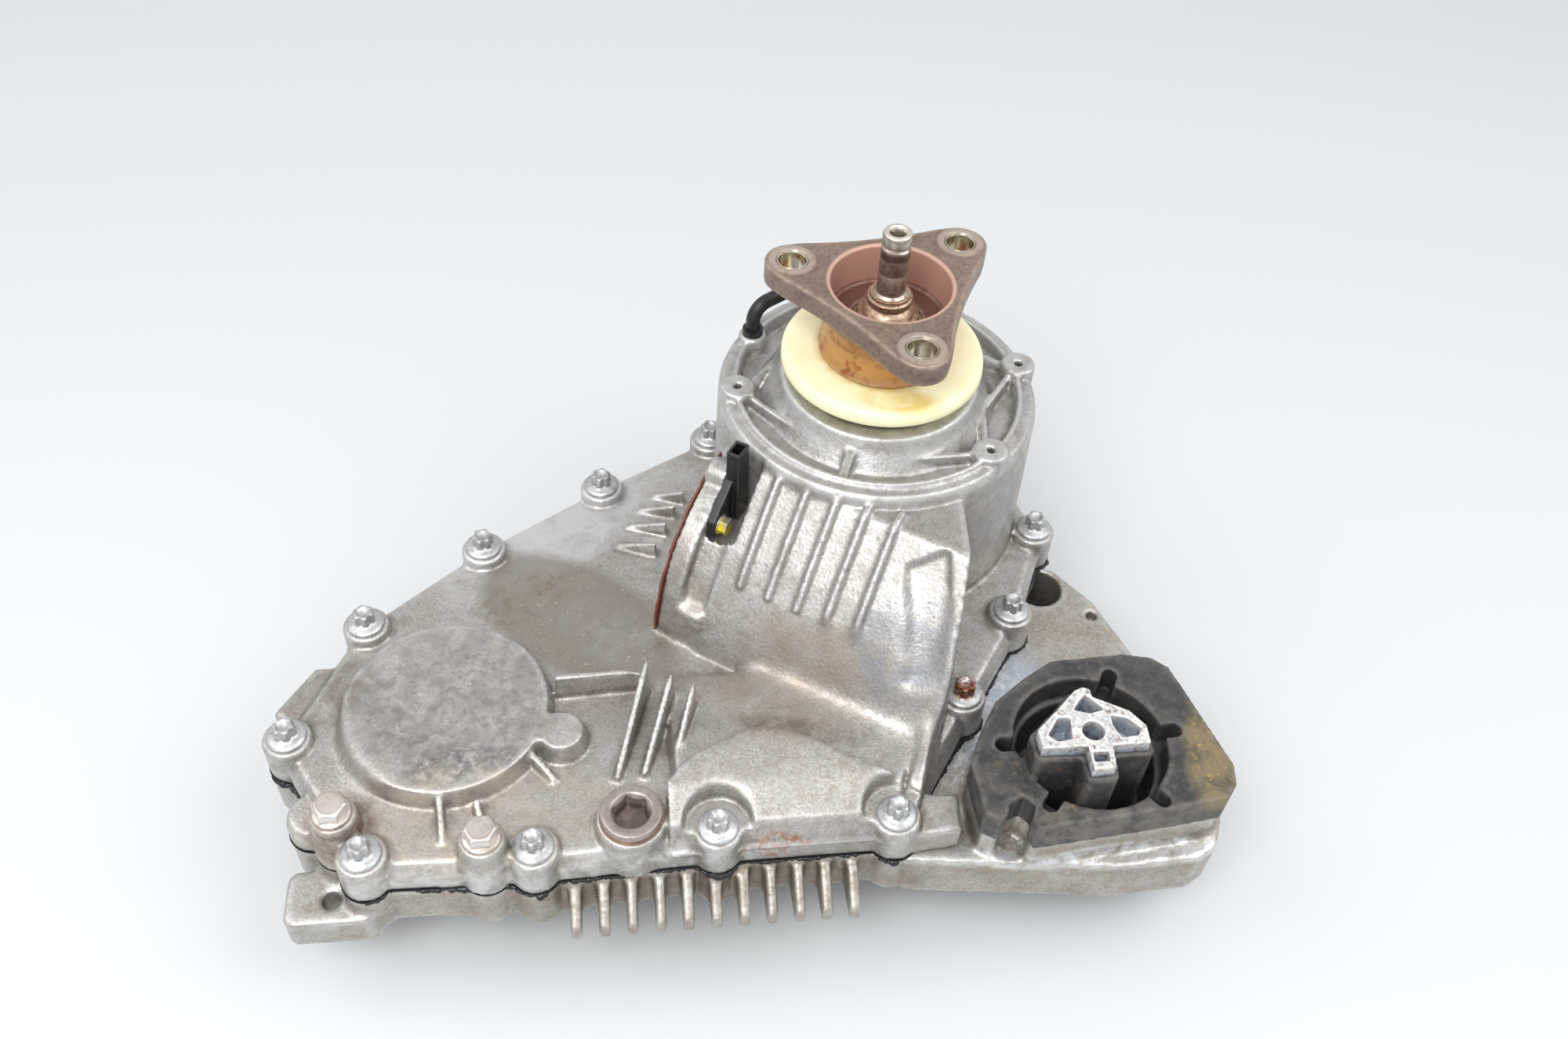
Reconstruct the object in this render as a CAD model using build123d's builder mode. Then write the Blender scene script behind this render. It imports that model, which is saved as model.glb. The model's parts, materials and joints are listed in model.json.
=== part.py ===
from build123d import *
import os
from math import asin, atan2, cos, degrees, hypot, pi, radians, sin

os.makedirs("parts", exist_ok=True)

# Transfer case of a four-wheel-drive car, standing on the face that bolts to the gearbox.
# Millimetres. The origin is on the main shaft's axis, in the gearbox face. +Z runs up the
# main shaft to the rear output flange, +X runs along the finned front wall.

# Chain and sprockets
chain_pitch = 12.7
sprocket_teeth = 21
span_pitches = 19.5
chain_width = 25.0
chain_gap = 3.5
front_axis_angle = -149.0
link_outline = [(1.6, -2.0), (4.8, -7.5), (7.1, -7.5), (9.9, -0.7), (8.3, 5.1)]
link_pin_r = 2.6
tooth_tip_drop = 2.9
tooth_root_drop = 9.0
tooth_tip_half = 1.4
tooth_root_half = 3.1

# Casings
case_wall = 5.0
floor_z = 38.0
joint_above_floor = 26.0
sealant_t = 0.6
bolt_pad = 5.0
wall_out = 6.0
cavity_out = 0.5
bolt_boss_r = 11.0
flange_bolts = [(-244, -199), (-282, -137), (-253, -74), (-199, -28), (-139, 12), (-79, 46),
                (-25, 90), (62, 70), (86, -32), (62, -86), (28, -135), (-14, -197), (-93, -197.5),
                (-172, -201)]
hex_bolts_at = [(-256, -183), (-193, -199.5)]
hex_pad = 13.0
lower_boss_r = 49.0
lower_boss_rise = 10.0
oil_plug_at = (-130.0, -191.0)
oil_plug_rise = 9.0

# Gearbox flange and front output nose
gearbox_flange_r = 96.0
gearbox_flange_t = 13.0
gearbox_pcd = 206.0
gearbox_bolt_r = 5.25
gearbox_bolt_count = 6
gearbox_bolt_start = -32.0
pilot_r = 70.0
pilot_depth = 5.0
neck_r = 84.0
output_nose_r = 47.0

# Fins, mounting arm and lug
fin_count = 11
fin_pitch = 12.3
fin_first_x = -156.0
fin_root_t = 5.0
fin_reach = 18.0
arm_top_drop = 1.0
arm_points = [(20, -60), (97, -42), (114, -66), (126, -102), (142, -196), (134, -212), (125, -217),
              (88, -219), (-8, -208), (-8, -188), (10, -150)]
mount_centre = (78.0, -173.0)
mount_hole_r = 36.0
mount_rise = 33.0
socket_rise = 16.0
socket_inset = 1.5
lug_hole_at = (-261.0, -202.0)
lug_hole_r = 4.25

# Shaft and bearing sizes
ball_bearing_bore_r = 20.0
ball_bearing_outer_r = 40.0
ball_bearing_w = 18.0
small_bearing_bore_r = 15.0
small_bearing_outer_r = 27.5
small_bearing_w = 13.0
race_t = 6.5
journal_r = 23.0
needle_t = 4.0
shaft_start_z = 6.0
input_bore_r = 14.0
input_bore_depth = 36.0
spline_depth = 1.2
spline_teeth = 16
seal_t = 8.0
seal_ring_t = 12.0
rear_seal_t = 10.0
pin_r = 6.9
pin_above_flange = 28.5
running_gap = 0.05
clear_gap = 0.3

# Clutch and its ball ramp
plate_inner_r = 39.0
plate_outer_r = 53.0
plate_t = 2.0
friction_count = 4
drum_wall = 4.0
drum_base_t = 5.0
drum_r = plate_outer_r + 1.0 + drum_wall
lug_depth = 2.4
lug_count = 6
lug_width = 12.0
hub_bore_r = 21.0
clutch_stroke = 1.7
pressure_t = 6.0
thrust_t = 3.0
ramp_t = 7.0
ramp_gap = 5.0
ramp_ring_r = 50.0
ramp_ring_bore_r = 24.0
ramp_ball_r = 4.5
ramp_ball_circle_r = 38.0
ramp_ball_count = 3
support_t = 4.5

# Actuator: its face, the cam shaft's axis and the cam disc
actuator_angle = -33.0
actuator_face_s = -52.0
actuator_plate_t = 11.0
seal_line_t = 0.8
seal_line_w = 3.0
actuator_bolt_circle_r = 38.0
actuator_bolt_r = 2.5
actuator_bore_r = 24.0
cam_w = 83.0
cam_contact_r = 18.1
cam_disc_r = 21.0
cam_shaft_r = 6.0
cam_low_half_t = 4.0
cam_lift = 8.0
cam_turn = 240.0
roller_r = 9.0
roller_pin_r = 3.0
roller_gap = 0.7

# Output flange, nut and dust cover
flange_pcd = 96.0
flange_hole_r = 6.25
flange_boss_r = 13.0
flange_t = 11.0
flange_waist = 34.5
flange_hollow_r = 230.0
flange_hub_r = 30.5
flange_first_angle = 37.4
flange_above_bearing = 66.5
bowl_r = 28.4
bowl_depth = 21.0
sleeve_r = 22.4
nut_r = 15.0
dust_cover_r = 49.2
dust_cover_t = 8.0
bush_wall = 1.25

# Heights worked out from the stack of parts on the main shaft
floor_top = floor_z + case_wall
joint_z = floor_z + joint_above_floor
chain_z0 = floor_top + chain_gap
chain_z1 = chain_z0 + chain_width
lid_under = chain_z1 + chain_gap
lid_z = lid_under + case_wall
bolt_seat_z = lid_z + bolt_pad
drum_z0 = chain_z1 + 2.5
plate_gap = clear_gap
plates_z0 = drum_z0 + drum_base_t + 1.3
plate_step = plate_t + plate_gap
steel_count = friction_count + 1
pack_top = plates_z0 + (steel_count + friction_count) * plate_step
pressure_z0 = pack_top + clutch_stroke + clear_gap
apply_z0 = pressure_z0 + pressure_t + clear_gap
ramp_a_z0 = apply_z0 + thrust_t + clear_gap
ramp_a_z1 = ramp_a_z0 + ramp_t
ramp_b_z0 = ramp_a_z1 + ramp_gap
ramp_b_z1 = ramp_b_z0 + ramp_t
ramp_mid_z = (ramp_a_z1 + ramp_b_z0) / 2
back_thrust_z0 = ramp_b_z1 + clear_gap
support_z0 = back_thrust_z0 + thrust_t + clear_gap
rear_bearing_z0 = support_z0 + support_t + clear_gap
rear_bearing_z1 = rear_bearing_z0 + ball_bearing_w
hub_top_z = rear_bearing_z1 + seal_t + 4.0
flange_top_z = rear_bearing_z1 + flange_above_bearing
front_bearing_z1 = floor_z - 2.0
front_bearing_z0 = front_bearing_z1 - ball_bearing_w
front_seal_z0 = front_bearing_z0 - seal_t - 4.0
cam_z = ramp_mid_z - cam_contact_r
tower_rim_z = rear_bearing_z1 + 5.5
tower_top_z = rear_bearing_z1 + 3.0
ceiling_z = rear_bearing_z1 - 8.0
dust_cover_z0 = hub_top_z + 8.0

# The front output's axis, one chain span away
pitch_r = chain_pitch / 2 / sin(pi / sprocket_teeth)
front_distance = chain_pitch * span_pitches
front_x = front_distance * cos(radians(front_axis_angle))
front_y = front_distance * sin(radians(front_axis_angle))

# The drum's and tower's radii follow from the clutch
tower_in_r = drum_r + 16.0
tower_r = tower_in_r + case_wall

# Directions of the actuator: u along its cam shaft, w straight out from the main shaft
u_dir = Vector(cos(radians(actuator_angle)), sin(radians(actuator_angle)), 0)
w_dir = Vector(sin(radians(actuator_angle)), -cos(radians(actuator_angle)), 0)


def save(piece, label):
    """Label a finished piece and write its STEP file."""
    piece.part.label = label
    export_step(piece.part, f"parts/{label}.step")


def across(s):
    """Plane square to the cam shaft at distance s along it; its axes are w and Z."""
    return Plane(origin=u_dir * s, x_dir=w_dir, z_dir=-u_dir)


def along(point_u, point_w, z):
    """Point given along the cam shaft, out from the main shaft, and up."""
    return u_dir * point_u + w_dir * point_w + Vector(0, 0, z)


def turned(points):
    """Solid turned about the Z axis from (radius, height) points."""
    with BuildPart(mode=Mode.PRIVATE) as solid:
        with BuildSketch(Plane.XZ):
            with BuildLine():
                Polyline(*points, close=True)
            make_face()
        revolve(axis=Axis.Z)
    return solid.part


def thin_rib(start, end, z_low, z_start, z_end, thickness):
    """Upright rib between two points in plan, with a sloping top."""
    length = hypot(end[0] - start[0], end[1] - start[1])
    run = Vector((end[0] - start[0]) / length, (end[1] - start[1]) / length, 0)
    side = Vector(0, 0, 1).cross(run)
    with BuildPart(mode=Mode.PRIVATE) as rib:
        with BuildSketch(Plane(origin=(start[0], start[1], 0), x_dir=run, z_dir=-side)):
            with BuildLine():
                Polyline((0, z_low), (length, z_low), (length, z_end), (0, z_start), close=True)
            make_face()
        extrude(amount=thickness / 2, both=True)
    return rib.part


# Outline of the joint between the two castings, through the flange bolts
with BuildSketch(mode=Mode.PRIVATE) as bolt_loop:
    with BuildLine():
        Polyline(*flange_bolts, close=True)
    make_face()

left_lobe_at = (-268.0, -172.0)
corner_block = [(-262, -140), (-292, -118), (-276, -93), (-255, -93)]
right_tab = [(-16, -182), (17, -185), (15, -203), (-16, -206)]

with BuildSketch(mode=Mode.PRIVATE) as case_outline:
    offset(bolt_loop.sketch, amount=wall_out)
    with Locations(*flange_bolts):
        Circle(bolt_boss_r)
    with Locations(*hex_bolts_at):
        Circle(bolt_boss_r)
    Circle(tower_r + 2.0)
    with Locations(left_lobe_at):
        Circle(12.0)
    Polygon(*corner_block, align=None)

with BuildSketch(mode=Mode.PRIVATE) as case_cavity:
    offset(bolt_loop.sketch, amount=cavity_out)
    with Locations(*flange_bolts):
        Circle(bolt_boss_r - 1.5, mode=Mode.SUBTRACT)
    with Locations(*hex_bolts_at):
        Circle(bolt_boss_r - 1.5, mode=Mode.SUBTRACT)
    with Locations(oil_plug_at):
        Circle(17.0, mode=Mode.SUBTRACT)


def hump_profile(grow):
    """Side view of the actuator housing over the cam disc, grown by a wall."""
    inside = [(tower_in_r - 34.0, lid_under), (tower_in_r - 34.0, ceiling_z), (cam_w - 7.0, ceiling_z),
              (cam_w + 18.0, cam_z + 20.0), (cam_w + 28.0, cam_z + 8.0), (cam_w + 38.0, cam_z - 6.0),
              (cam_w + 45.0, cam_z - 18.0), (cam_w + 49.0, lid_under)]
    with BuildSketch(mode=Mode.PRIVATE) as profile:
        with BuildLine():
            Polyline(*inside, close=True)
        make_face()
        if grow > 0:
            offset(amount=grow)
    return profile.sketch


hump_s0 = -28.0
hump_s1 = 50.0
end_wall = [(31.0, -60.0), (27.0, -106.0), (17.0, -146.0), (-3.0, -188.0)]
end_recess = [(-2.0, -104.0), (18.0, -104.0), (17.0, -124.0), (10.0, -146.0), (-4.0, -143.0), (-1.0, -124.0)]
end_recess_depth = 2.5
cam_shaft_end_s = hump_s1 - case_wall + 3.0
cam_disc_s = (hump_s0 + hump_s1) / 2
dowel_at = [flange_bolts[2], flange_bolts[9]]
dowel_r = 6.4
dowel_half = 6.0
neck_s0 = actuator_face_s + actuator_plate_t
plug_back_s = neck_s0 + 1.0
valley_rise = 12.0
hump_rib_first_s = -15.0
hump_rib_pitch = 14.9
hump_rib_count = 5
plate_arc_w = cam_w - 21.0
plate_arc_z = cam_z - 28.0
plate_arc_r = 70.0
actuator_bolt_angles = [100.0, -20.0, 220.0]

panel_outline = [(-114.0, -206.0), (-114.0, -178.0), (-107.0, -169.0), (-92.0, -160.0), (-65.0, -149.0),
                 (-40.0, -165.0), (-13.0, -180.0), (-7.0, -206.0)]
panel_side = [(-206.0, 76.0), (-203.0, 77.0), (-197.0, 88.0), (-180.0, 94.0), (-165.0, 97.0), (-145.0, 99.0),
              (-145.0, 76.0)]
valley_outline = [(-8.0, -188.0), (14.0, -140.0), (-60.0, -110.0), (-116.0, -112.0), (-112.0, -200.0)]
lower_ribs = [((-163, -119), (-123, -117), 15.0, 14.0), ((-120, -118), (-136, -168), 24.0, 3.0),
              ((-109, -126), (-124, -167), 24.0, 3.0), ((-99, -131), (-110, -162), 24.0, 4.0),
              ((-213, -172), (-211, -193), 9.0, 2.0), ((-176, -152), (-163, -166), 9.0, 2.0),
              ((-197, -176), (-195, -186), 7.0, 2.0), ((-96, 2), (-112, 8), 9.0, 1.0),
              ((-101, -8), (-120, -2), 9.0, 1.0), ((-106, -20), (-126, -13), 9.0, 1.0),
              ((-112, -34), (-132, -26), 9.0, 1.0)]
tower_screws = [(-70.0, -1.0), (73.0, 9.0), (46.0, -52.0)]
tower_screw_r = 2.2
breather_root = (-59.0, 38.0)
breather_r = 3.6
coding_screw_w = cam_w + 13.0
coding_screw_z = cam_z + 27.0
coding_plug_w = cam_w - 4.0

def seal_line(width):
    """Strip of sealing compound along the rounded edge of the actuator's face plate."""
    with BuildSketch(mode=Mode.PRIVATE) as strip:
        with Locations((plate_arc_w, plate_arc_z)):
            Circle(plate_arc_r + 0.6)
            Circle(plate_arc_r - width, mode=Mode.SUBTRACT)
        with Locations((plate_arc_w + 60.0, lid_z + 0.5 + 40.0)):
            Rectangle(110, 80, mode=Mode.INTERSECT)
    return strip.sketch


def housing_block(grow, start_s, inset, recess):
    """Actuator housing from one station to its slanting end wall, or the hollow inside it."""
    with BuildPart(mode=Mode.PRIVATE) as block:
        with BuildSketch(across(100.0)):
            add(hump_profile(grow))
        extrude(amount=100.0 - start_s)
        with BuildSketch(Plane.XY.offset(lid_under - case_wall)):
            Polygon((-160.0, 0.0), *[(x - inset, y) for x, y in end_wall], (-160.0, -230.0), align=None)
        extrude(amount=100.0, mode=Mode.INTERSECT)
        if recess > 0:
            with BuildPart(mode=Mode.PRIVATE) as hollow:
                with BuildSketch(Plane.XY.offset(lid_z + 20.0)):
                    Polygon(*end_recess, align=None)
                extrude(amount=70.0)
                with BuildSketch(across(100.0)):
                    add(hump_profile(grow - recess))
                extrude(amount=100.0, mode=Mode.SUBTRACT)
            add(hollow.part, mode=Mode.SUBTRACT)
    return block.part


with BuildPart() as rear_case:
    # Joint flange, chain cover and the pads that the flange bolts sit on
    rear_z0 = joint_z + sealant_t / 2
    with BuildSketch(Plane.XY.offset(rear_z0)):
        add(case_outline.sketch)
        Polygon(*right_tab, align=None)
    extrude(amount=lid_z - rear_z0 - 6.0)
    with BuildSketch(Plane.XY.offset(lid_z - 6.0)):
        offset(bolt_loop.sketch, amount=wall_out)
    extrude(amount=6.0, taper=35)
    with BuildSketch(Plane.XY.offset(rear_z0)):
        with Locations(*flange_bolts):
            Circle(bolt_boss_r)
    extrude(amount=bolt_seat_z - rear_z0)
    with BuildSketch(Plane.XY.offset(rear_z0)):
        with Locations(*hex_bolts_at):
            Circle(bolt_boss_r + 0.5)
    extrude(amount=lid_z + hex_pad - rear_z0, taper=3)
    with BuildSketch(Plane.XY.offset(lid_z - 6.0)):
        Polygon(*corner_block, align=None)
        with Locations(left_lobe_at):
            Circle(11.0)
    extrude(amount=3.0)
    with BuildSketch(Plane.XY.offset(lid_z - 6.0)):
        Polygon(*right_tab, align=None)
    extrude(amount=5.0)

    # Cover of the front output's rear bearing, with its small lobe
    with BuildSketch(Plane.XY.offset(lid_z - 2.0)):
        with Locations((front_x, front_y)):
            Circle(lower_boss_r)
        with Locations((-160, -145)):
            Circle(12.5)
    extrude(amount=lower_boss_rise + 2.0, taper=12)

    # Oil plug boss
    with BuildSketch(Plane.XY.offset(rear_z0)):
        with Locations(oil_plug_at):
            Circle(16.5)
    extrude(amount=lid_z + oil_plug_rise - 1.5 - rear_z0, taper=3)

    # Tower round the clutch, with its rim and the hub of the rear bearing
    add(turned([(tower_in_r, rear_z0), (tower_r + 2.0, rear_z0), (tower_r, tower_top_z - 3.0),
                (tower_r - 2.0, tower_top_z), (tower_r - 7.0, tower_top_z), (tower_r - 7.5, tower_rim_z),
                (tower_r - 9.7, tower_rim_z), (tower_r - 11.0, tower_top_z - 5.0),
                (tower_r - 21.0, tower_top_z - 6.0), (dust_cover_r + 2.0, hub_top_z - 6.0),
                (dust_cover_r - 1.0, hub_top_z), (30.0, hub_top_z), (30.0, rear_bearing_z0 - 1.0),
                (ball_bearing_outer_r + 9.0, rear_bearing_z0 - 1.0),
                (ball_bearing_outer_r + 14.0, ceiling_z), (tower_in_r, ceiling_z)]))
    with BuildSketch(Plane.XY.offset(ceiling_z - 12.0)):
        with Locations(*tower_screws):
            Circle(8.5)
    extrude(amount=tower_rim_z + 1.5 - ceiling_z + 12.0)
    for corner_x, corner_y in tower_screws:
        corner_angle = atan2(corner_y, corner_x)
        for turn in (-1, 1):
            foot_angle = corner_angle + turn * radians(34)
            foot = (52.0 * cos(foot_angle), 52.0 * sin(foot_angle))
            add(thin_rib((0.97 * corner_x, 0.97 * corner_y), foot, ceiling_z + 1.0, tower_rim_z - 1.5,
                         tower_rim_z - 2.5, 3.2))
    add(thin_rib((-19.0, -44.0), (-27.0, -64.0), ceiling_z + 1.0, tower_rim_z + 1.0, tower_rim_z - 3.0, 4.5))

    # Actuator housing over the cam disc: hump, neck, face plate and its bolt bosses
    add(housing_block(case_wall, hump_s0, 0.0, end_recess_depth))
    with BuildSketch(across(hump_s0)):
        add(hump_profile(case_wall - 1.5))
    extrude(amount=hump_s0 - neck_s0)
    with BuildSketch(across(neck_s0)):
        with Locations((plate_arc_w, plate_arc_z)):
            Circle(plate_arc_r)
        with Locations((cam_w, cam_z)):
            with PolarLocations(actuator_bolt_circle_r, 1, start_angle=actuator_bolt_angles[0]):
                Circle(8.0)
            with PolarLocations(actuator_bolt_circle_r, 1, start_angle=actuator_bolt_angles[1]):
                Circle(8.0)
        with Locations((plate_arc_w + 60.0, rear_z0 + 60.0)):
            Rectangle(160, 120, mode=Mode.INTERSECT)
    extrude(amount=actuator_plate_t)
    with BuildSketch(across(neck_s0 + 13.0)):
        with Locations((cam_w, cam_z)):
            with PolarLocations(actuator_bolt_circle_r, 1, start_angle=actuator_bolt_angles[1]):
                RectangleRounded(20.0, 22.0, 4.0)
    extrude(amount=13.0)

    # Stiffening ribs on the hump
    for k in range(hump_rib_count):
        rib_s = hump_rib_first_s + hump_rib_pitch * k
        with BuildSketch(across(rib_s + 1.5)):
            add(hump_profile(case_wall + 2.6))
            with Locations((cam_w + 10.0, cam_z + 40.0)):
                Rectangle(48.0, 56.0, mode=Mode.INTERSECT)
        extrude(amount=3.0)

    # Ridge from the housing's right end down to the corner bolt
    add(thin_rib((15.0, -138.0), (-6.0, -190.0), lid_under + 1.0, lid_z + 24.0, lid_z + 6.0, 7.0))

    # Raised panel in front of the hump, rising from the front wall
    with BuildPart(mode=Mode.PRIVATE) as panel:
        with BuildSketch(Plane.XY.offset(lid_under)):
            Polygon(*panel_outline, align=None)
        extrude(amount=40.0)
        with BuildSketch(Plane.YZ.offset(-150.0)):
            with BuildLine():
                Polyline(*panel_side, close=True)
            make_face()
        extrude(amount=180.0, mode=Mode.INTERSECT)
    add(panel.part)
    with BuildSketch(Plane.XY.offset(lid_under)):
        Polygon(*valley_outline, align=None)
    extrude(amount=valley_rise, taper=20)
    for scoop in ((-93, -197.5), (-14, -197)):
        with BuildSketch(Plane.XY.offset(bolt_seat_z)):
            with Locations(scoop):
                Circle(bolt_boss_r + 4.0)
        extrude(amount=25.0, taper=-12, mode=Mode.SUBTRACT)

    # Low ribs on the chain cover
    for rib_start, rib_end, rise_start, rise_end in lower_ribs:
        add(thin_rib(rib_start, rib_end, lid_under + 1.0, lid_z + rise_start, lid_z + rise_end, 3.0))

    # Breather boss on the tower's shoulder
    with BuildSketch(Plane.XY.offset(ceiling_z - 10.0)):
        with Locations(breather_root):
            Circle(7.0)
    extrude(amount=tower_rim_z + 2.0 - ceiling_z + 10.0)

    # Room for the coding plug beside the tower, and the boss for its screw on the face plate
    with BuildSketch(across(hump_s0 + 3.0)):
        with Locations((coding_plug_w + 9.0, coding_screw_z + 18.0)):
            Rectangle(30.0, 52.0)
    extrude(amount=hump_s0 + 3.0 - neck_s0, mode=Mode.SUBTRACT)
    with BuildSketch(across(neck_s0 + 1.0)):
        with Locations((coding_screw_w, coding_screw_z)):
            Circle(6.0)
    extrude(amount=6.0)

    # Hollows: chain space, clutch space, cam space
    with BuildSketch(Plane.XY.offset(rear_z0)):
        add(case_cavity.sketch)
    extrude(amount=lid_under - rear_z0, mode=Mode.SUBTRACT)
    add(turned([(0.0, rear_z0 - 1.0), (tower_in_r, rear_z0 - 1.0), (tower_in_r, ceiling_z),
                (ball_bearing_outer_r + 14.0, ceiling_z), (ball_bearing_outer_r + 9.0, rear_bearing_z0 - 1.0),
                (0.0, rear_bearing_z0 - 1.0)]), mode=Mode.SUBTRACT)
    with BuildSketch(across(hump_s1 - case_wall)):
        add(hump_profile(0))
    extrude(amount=hump_s1 - case_wall - hump_s0 - case_wall, mode=Mode.SUBTRACT)
    add(housing_block(0, hump_s1, case_wall, 0), mode=Mode.SUBTRACT)

    # Bores: rear bearing, rear seal, front output's rear bearing
    with BuildSketch(Plane.XY.offset(rear_bearing_z0 - 2.0)):
        Circle(ball_bearing_outer_r)
    extrude(amount=ball_bearing_w + 2.0, mode=Mode.SUBTRACT)
    with BuildSketch(Plane.XY.offset(rear_bearing_z0)):
        Circle(sleeve_r + rear_seal_t)
    extrude(amount=hub_top_z - rear_bearing_z0 + 1.0, mode=Mode.SUBTRACT)
    with BuildSketch(Plane.XY.offset(rear_z0)):
        with Locations((front_x, front_y)):
            Circle(small_bearing_outer_r)
    extrude(amount=chain_z1 + clear_gap * 5 + small_bearing_w - rear_z0, mode=Mode.SUBTRACT)

    # Rebate for the sealing compound, cam shaft bores and the actuator's pilot bore
    with BuildSketch(across(actuator_face_s + seal_line_t)):
        add(seal_line(seal_line_w + 0.1))
    extrude(amount=seal_line_t, mode=Mode.SUBTRACT)
    with BuildSketch(across(actuator_face_s + 12.0)):
        with Locations((cam_w, cam_z)):
            Circle(actuator_bore_r)
    extrude(amount=12.0, mode=Mode.SUBTRACT)
    with BuildSketch(across(cam_shaft_end_s + 1.0)):
        with Locations((cam_w, cam_z)):
            Circle(cam_shaft_r + 5.0)
    extrude(amount=cam_shaft_end_s + 1.0 - actuator_face_s - 10.0, mode=Mode.SUBTRACT)
    with BuildSketch(across(neck_s0)):
        with Locations((cam_w, cam_z)):
            with PolarLocations(actuator_bolt_circle_r, 3, start_angle=actuator_bolt_angles[0]):
                Circle(actuator_bolt_r)
    extrude(amount=actuator_plate_t, mode=Mode.SUBTRACT)
    with BuildSketch(across(plug_back_s)):
        with Locations((coding_screw_w, coding_screw_z)):
            Circle(2.5)
    extrude(amount=8.0, mode=Mode.SUBTRACT)

    # Spot faces, then screw, bolt, plug and breather holes
    with BuildSketch(Plane.XY.offset(bolt_seat_z)):
        with Locations(*flange_bolts):
            Circle(9.6)
    extrude(amount=14.0, mode=Mode.SUBTRACT)
    with Locations(*[(x, y, bolt_seat_z) for x, y in flange_bolts]):
        Hole(4.4, depth=bolt_seat_z - rear_z0 + 1.0)
    with Locations(*[(x, y, lid_z + hex_pad) for x, y in hex_bolts_at]):
        Hole(4.4, depth=lid_z + hex_pad - rear_z0 + 1.0)
    with Locations(*[(x, y, joint_z + dowel_half) for x, y in dowel_at]):
        Hole(dowel_r, depth=dowel_half)
    with Locations((oil_plug_at[0], oil_plug_at[1], lid_z + oil_plug_rise - 1.5)):
        Hole(11.0, depth=20.0)
    with Locations(*[(x, y, tower_rim_z + 1.5) for x, y in tower_screws]):
        Hole(tower_screw_r, depth=14.0)
    with Locations((breather_root[0], breather_root[1], tower_rim_z + 2.0)):
        Hole(breather_r, depth=20.0)

save(rear_case, "rear_case")

# Front casting: chain housing, fins, mounting arm, lug, gearbox flange and output nose
front_z1 = joint_z - sealant_t / 2
arm_z1 = front_z1 - arm_top_drop + 1.0
fin_profile = [(-200.0, floor_z), (-200.0, front_z1 - 2.0), (-208.0, front_z1 - 3.0),
               (-206.0 - fin_reach, floor_z + 12.0), (-206.0 - fin_reach, floor_z + 5.0)]
socket_z1 = arm_z1 + socket_rise
rubber_z1 = arm_z1 + mount_rise
rubber_outline = [(55, -136), (70, -127), (106, -125), (119, -128), (126, -134), (129, -145), (140, -190),
                  (138, -200), (132, -207), (109, -210), (44, -216), (42, -211), (45, -204), (41, -199),
                  (34, -202), (32, -208), (28, -210), (22, -206), (21, -180), (28, -165), (39, -148)]
core_outline = [(-8.6, 14.3), (-4.2, 16.0), (-1.2, 14.4), (-1.1, 10.4), (13.6, 2.0), (19.2, -6.3),
                (18.8, -15.4), (1.5, -15.4), (0.1, -26.6), (-9.8, -27.0), (-9.5, -15.2), (-29.7, -15.0),
                (-29.9, -5.4), (-18.3, 4.9)]
core_pockets = [[(-25.9, -8.3), (-19.4, 0.3), (-13.9, 0.0), (-15.5, -11.0), (-22.4, -11.8)],
                [(4.6, 0.0), (11.4, -1.8), (16.6, -7.5), (14.4, -11.2), (6.5, -11.7), (4.3, -5.3)],
                [(-4.1, 11.9), (2.7, 3.4), (-4.5, 1.7), (-11.5, 4.0), (-7.0, 9.4)],
                [(-8.4, -18.4), (-1.2, -18.4), (-1.7, -23.4), (-8.6, -23.4)]]
core_pocket_depth = 12.0
core_hole_at = (-5.2, -7.5)
core_hole_r = 5.0
core_hole_depth = 30.0
core_top_z = rubber_z1 + 20.0
slot_angles = [63.0, 5.0, -53.0, 178.0, 230.0]
small_bearing_z0 = chain_z1 + clear_gap * 5
nose_bearing_z1 = floor_z - 1.0
nose_bearing_z0 = nose_bearing_z1 - ball_bearing_w
nose_seal_z0 = nose_bearing_z0 - seal_t - 3.0

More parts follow.
